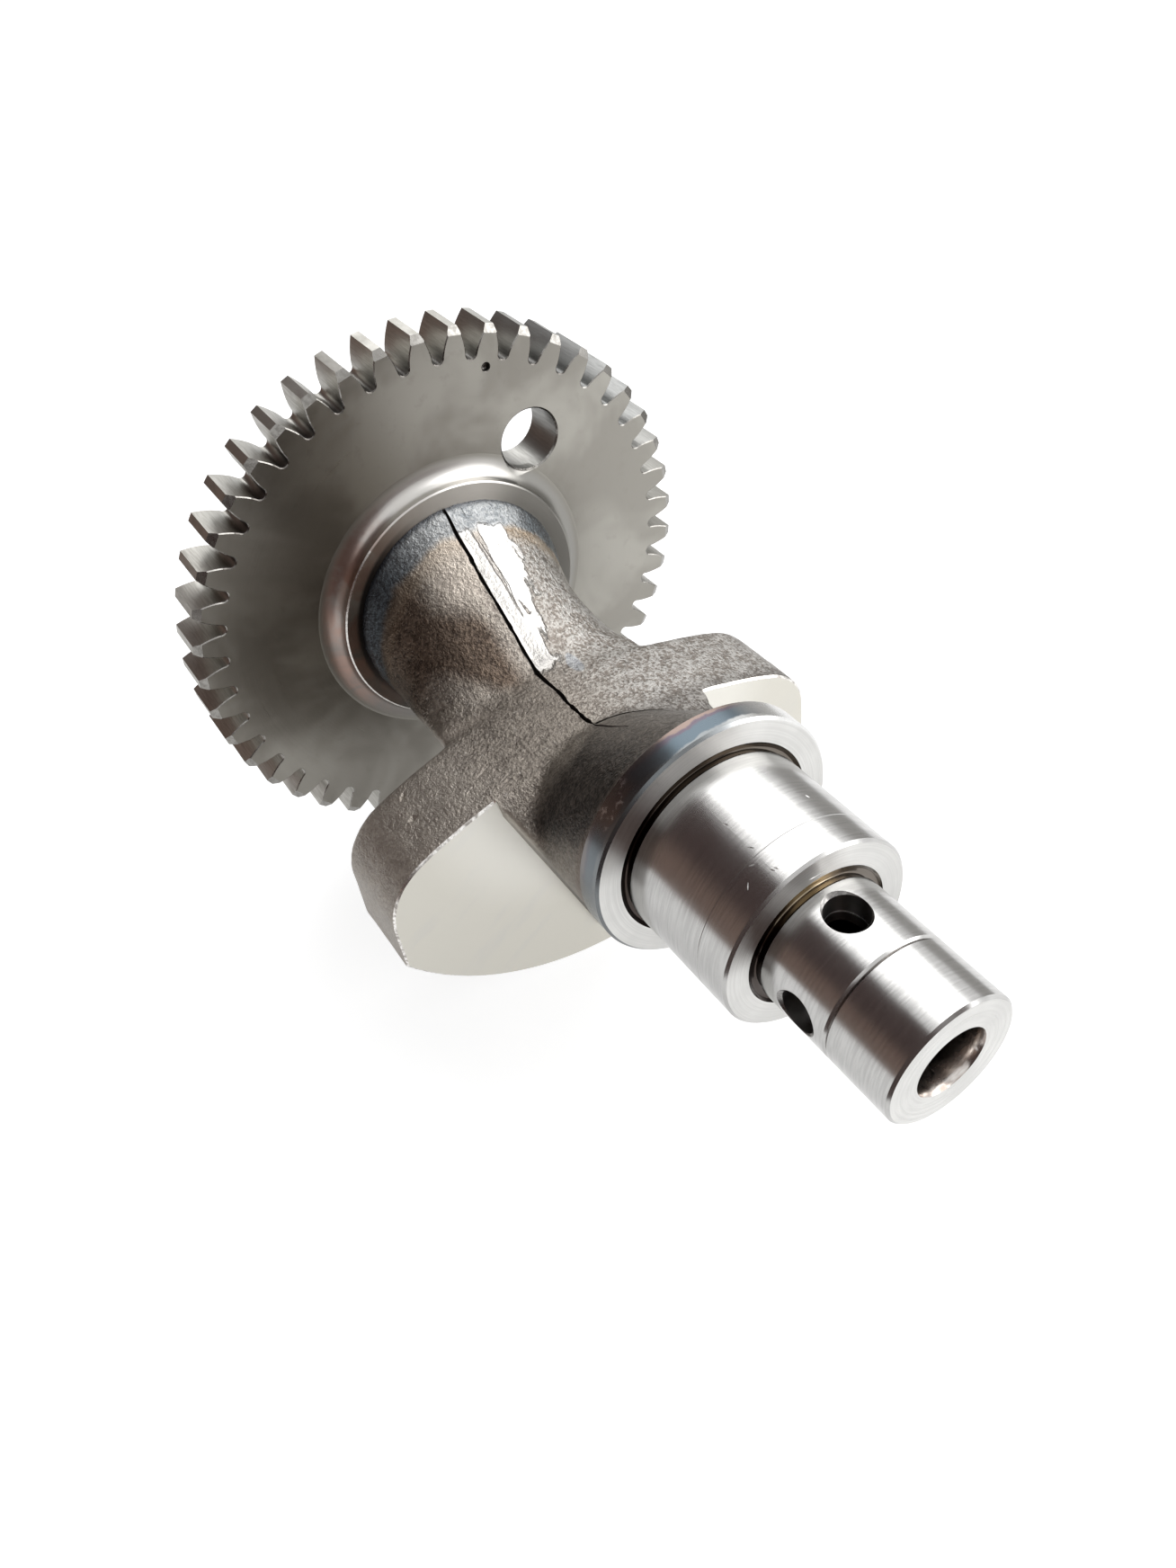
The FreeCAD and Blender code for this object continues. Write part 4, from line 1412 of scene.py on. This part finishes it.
    def execute(self, context):
        sizes = context.scene.shaft_wheel
        tones = context.scene.shaft_finish
        at = Stations(context.scene)
        front = at.wheel_front
        piece = self.teeth(at, sizes)
        combine(piece, self.drill(at, sizes), "DIFFERENCE")
        punch = turned([
            (front - 1.1 * MM, 0), (front - 0.75 * MM, 0.62 * MM), (front - 0.1 * MM, 0.72 * MM),
            (front + 0.2 * MM, 1.0 * MM), (front + 0.2 * MM, 0),
        ], 32)
        place = (0, *round_the_axis(TIMING_RADIUS, sizes.timing_angle))
        bmesh.ops.translate(punch, verts=punch.verts, vec=place)
        combine(piece, piece_from("punch", punch), "DIFFERENCE")
        finishes = {
            "face": wheel_finish(tones),
            "flank": flank_finish(front / MM),
            # painted shade: the edges at the roots of the upper teeth are painted dark
            "root": edge_finish("painted_shade_root_edge", (0.14, 0.13, 0.12), (0.07, 0.065, 0.06)),
            "edge": edge_finish("brushed_bevel", (0.31, 0.3, 0.282), (0.23, 0.22, 0.205)),
        }

        def zone(centre, normal):
            if abs(normal.x) > 0.99:
                return "face"
            if abs(normal.x) > 0.2:
                at_root = math.hypot(centre.y, centre.z) < 43.2 * MM and centre.x > at.wheel_rear + 1 * MM
                return "root" if at_root and -1.05 < math.atan2(centre.y, centre.z) < 0.8 else "edge"
            return "flank"

        dress(piece, finishes, zone)
        self.boss(at, sizes, tones)
        return {"FINISHED"}


class SHAFT_OT_rear_journal(ShaftOperator):
    """Turn the shoulder and the plain journal behind the wheel"""

    bl_idname = "shaft.rear_journal"
    bl_label = "Rear journal"

    def execute(self, context):
        sizes = context.scene.shaft_wheel
        tones = context.scene.shaft_finish
        at = Stations(context.scene)
        shoulder = sizes.shoulder_diameter / 2
        journal = sizes.rear_diameter / 2
        step = at.wheel_rear - sizes.shoulder_length
        end = at.rear_end
        chamfer = sizes.rear_chamfer
        centre = 1.6 * MM
        corner = rounded([
            (step, shoulder), (step, journal + 0.7 * MM), (step + 0.4 * MM, journal + 0.3 * MM),
            (step + 0.3 * MM, journal - 0.35 * MM), (step - 0.6 * MM, journal - 0.35 * MM),
            (step - 1.1 * MM, journal),
        ], 0.3 * MM)
        piece = piece_from("rear_journal", turned([
            (at.wheel_rear + 2 * MM, 0), (at.wheel_rear + 2 * MM, shoulder),
            (step + 0.4 * MM, shoulder), (step, shoulder - 0.4 * MM), *corner[1:],
            (end + chamfer, journal), (end, journal - chamfer), (end, 2 * centre),
            (end + 1.2 * centre, centre), (end + 3 * centre, centre), (end + 3.5 * centre, 0),
        ]))
        finishes = {
            "ground": ground_finish("rear_ground_steel", tones.ground_steel),
            "faced": faced_finish("rear_turned_face", tones.turned_steel, 0.28),
        }
        dress(piece, finishes, lambda centre, normal: "faced" if abs(normal.x) > 0.7 else "ground")
        return {"FINISHED"}


def arch(top):
    """(distance, height) points of a card that bends over the shaft up to an elevation."""
    return [
        (CARD_DISTANCE * math.cos(math.radians(up)), CARD_DISTANCE * math.sin(math.radians(up)))
        for up in range(-8, top, 6)
    ]


class SHAFT_OT_stage(ShaftOperator):
    """Set the white floor, the soft light and the camera"""

    bl_idname = "shaft.stage"
    bl_label = "Stage"

    def floor(self, settings, height):
        """White floor that keeps the shaft's soft shadow."""
        bm = bmesh.new()
        bmesh.ops.create_grid(
            bm, x_segments=1, y_segments=1, size=settings.floor_size,
            matrix=Matrix.Translation((MIDDLE, 0, height)),
        )
        floor = piece_from("floor", bm)
        finish = Finish("floor_white", metallic=0.0)
        seen, mirrored = finish.rays()
        finish.paint(tuple(settings.floor_colour))
        finish.sets("Roughness", 0.9)
        finish.sets("Specular IOR Level", 0.0)
        finish.sets("Emission Color", (1.0, 1.0, 1.0))
        glow = finish.times(finish.scaled(mirrored, 0.8, seen), settings.floor_glow)
        finish.sets("Emission Strength", glow)
        floor.data.materials.append(finish.material)

    def card(self, name, run, start, sweep, low, high, levels):
        """Bent card that only the metal mirrors, spun round the middle from (distance, height) points.

        It starts at an angle and sweeps on, in degrees, and its colour goes from low to high
        between two heights in millimetres.
        """
        bm = bmesh.new()
        first = math.radians(start)
        verts = [
            bm.verts.new((MIDDLE + out * math.cos(first), out * math.sin(first), up)) for out, up in run
        ]
        edges = [bm.edges.new(pair) for pair in zip(verts, verts[1:])]
        bmesh.ops.spin(
            bm, geom=verts + edges, cent=(MIDDLE, 0, 0), axis=(0, 0, 1), dvec=(0, 0, 0),
            angle=math.radians(sweep), steps=24, use_merge=False, use_normal_flip=False,
            use_duplicate=False,
        )
        card = piece_from(name, bm)
        finish = Finish(name, metallic=0.0)
        finish.paint((0.0, 0.0, 0.0))
        finish.sets("Specular IOR Level", 0.0)
        finish.sets("Emission Strength", 1.0)
        finish.sets("Emission Color", finish.fade(finish.z, *levels, low, high))
        card.data.materials.append(finish.material)
        card.visible_camera = False
        card.visible_diffuse = False
        card.visible_shadow = False

    def cards(self, lowest):
        """The cards round the shaft, from dim or pale below to dark above."""
        dark = (0.085, 0.06, 0.057)
        dim = (0.22, 0.155, 0.13)
        pale = (0.42, 0.41, 0.395)
        foot = lowest + 1 * MM
        near = [(0.115, foot), (0.26, foot)] + arch(30)[1:]
        ahead = [(0.18, foot), (0.26, foot)] + arch(24)[1:]
        table = [(0.2, foot), (0.4, 0.05), (0.6, 0.15)]
        self.card("viewer_side", arch(66), -182, 46, dim, dark, (60, 190))
        self.card("corner", arch(74), -136, 74, dim, dark, (60, 190))
        self.card("end_side", near, -62, 58, (0.1, 0.075, 0.07), dark, (0, 100))
        self.card("ahead", ahead, -4, 38, (0.16, 0.125, 0.115), (0.12, 0.09, 0.085), (0, 100))
        self.card("table_side", table, 84, 58, pale, pale, (0, 100))

    def lamp(self, scene, name, aim, energy):
        """Square soft lamp that faces the shaft's middle."""
        light = bpy.data.lights.new(name, "AREA")
        light.shape = "SQUARE"
        light.size = LAMP_SIDE
        light.energy = energy
        lamp = bpy.data.objects.new(name, light)
        away = Vector(aim).normalized()
        lamp.location = Vector((MIDDLE, 0, 0)) + away * LAMP_DISTANCE
        lamp.rotation_euler = (-away).to_track_quat("-Z", "Y").to_euler()
        lamp.visible_camera = False
        scene.collection.objects.link(lamp)

    def room(self, scene, level):
        """White room, at full strength where it is seen or mirrored."""
        scene.world = bpy.data.worlds.new("room")
        room = Nodes(scene.world)
        seen = room.maths("MAXIMUM", *room.rays())
        back = room.node("Background", (1.0, 1.0, 1.0), room.scaled(seen, 1.0 - level, level))
        room.node("OutputWorld", back.outputs[0])

    def eye(self, scene):
        """Camera at the viewing angle."""
        eye = bpy.data.cameras.new("eye")
        eye.sensor_fit = "AUTO"
        eye.sensor_width = 36.0
        eye.lens = EYE_LENS
        eye.clip_start = 0.005
        eye.clip_end = 20.0
        camera = bpy.data.objects.new("eye", eye)
        place = Matrix.Translation([each * MM for each in EYE_PLACE])
        camera.matrix_world = place @ Matrix(EYE_DIRECTIONS).transposed().to_4x4()
        scene.collection.objects.link(camera)
        scene.camera = camera

    def execute(self, context):
        scene = context.scene
        settings = scene.shaft_stage
        lowest = cad_box[0].z - 0.1 * MM
        self.floor(settings, lowest)
        self.room(scene, settings.room_level)
        self.cards(lowest)
        self.lamp(scene, "window", (-0.485, 0.379, 0.788), settings.window_power)
        self.lamp(scene, "side_window", (0.35, 0.75, 0.56), settings.side_power)
        self.eye(scene)
        scene.view_settings.view_transform = "Standard"
        return {"FINISHED"}


OPERATORS = (
    SHAFT_OT_front_journals,
    SHAFT_OT_forged_body,
    SHAFT_OT_toothed_wheel,
    SHAFT_OT_rear_journal,
    SHAFT_OT_stage,
)


class SHAFT_PT_panel(bpy.types.Panel):
    """Sizes, colours and building steps of the balance shaft"""

    bl_idname = "SHAFT_PT_panel"
    bl_label = "Balance shaft"
    bl_space_type = "VIEW_3D"
    bl_region_type = "UI"
    bl_category = "Shaft"

    def draw(self, context):
        layout = self.layout
        for operator in OPERATORS:
            layout.operator(operator.bl_idname)
        for name, group in GROUPS.items():
            box = layout.box()
            box.label(text=group.__name__)
            for each in group.__annotations__:
                box.prop(getattr(context.scene, name), each)


def register():
    for group in GROUPS.values():
        bpy.utils.register_class(group)
    for name, group in GROUPS.items():
        setattr(bpy.types.Scene, name, bpy.props.PointerProperty(type=group))
    for each in (*OPERATORS, SHAFT_PT_panel):
        bpy.utils.register_class(each)


def unregister():
    for each in (SHAFT_PT_panel, *reversed(OPERATORS)):
        bpy.utils.unregister_class(each)
    for name in GROUPS:
        delattr(bpy.types.Scene, name)
    for group in reversed(GROUPS.values()):
        bpy.utils.unregister_class(group)


def build_shaft():
    """Registers the add-on and builds every piece and the stage."""
    register()
    for operator in OPERATORS:
        family, name = operator.bl_idname.split(".")
        getattr(getattr(bpy.ops, family), name)()


if __name__ == "__main__":
    build_shaft()
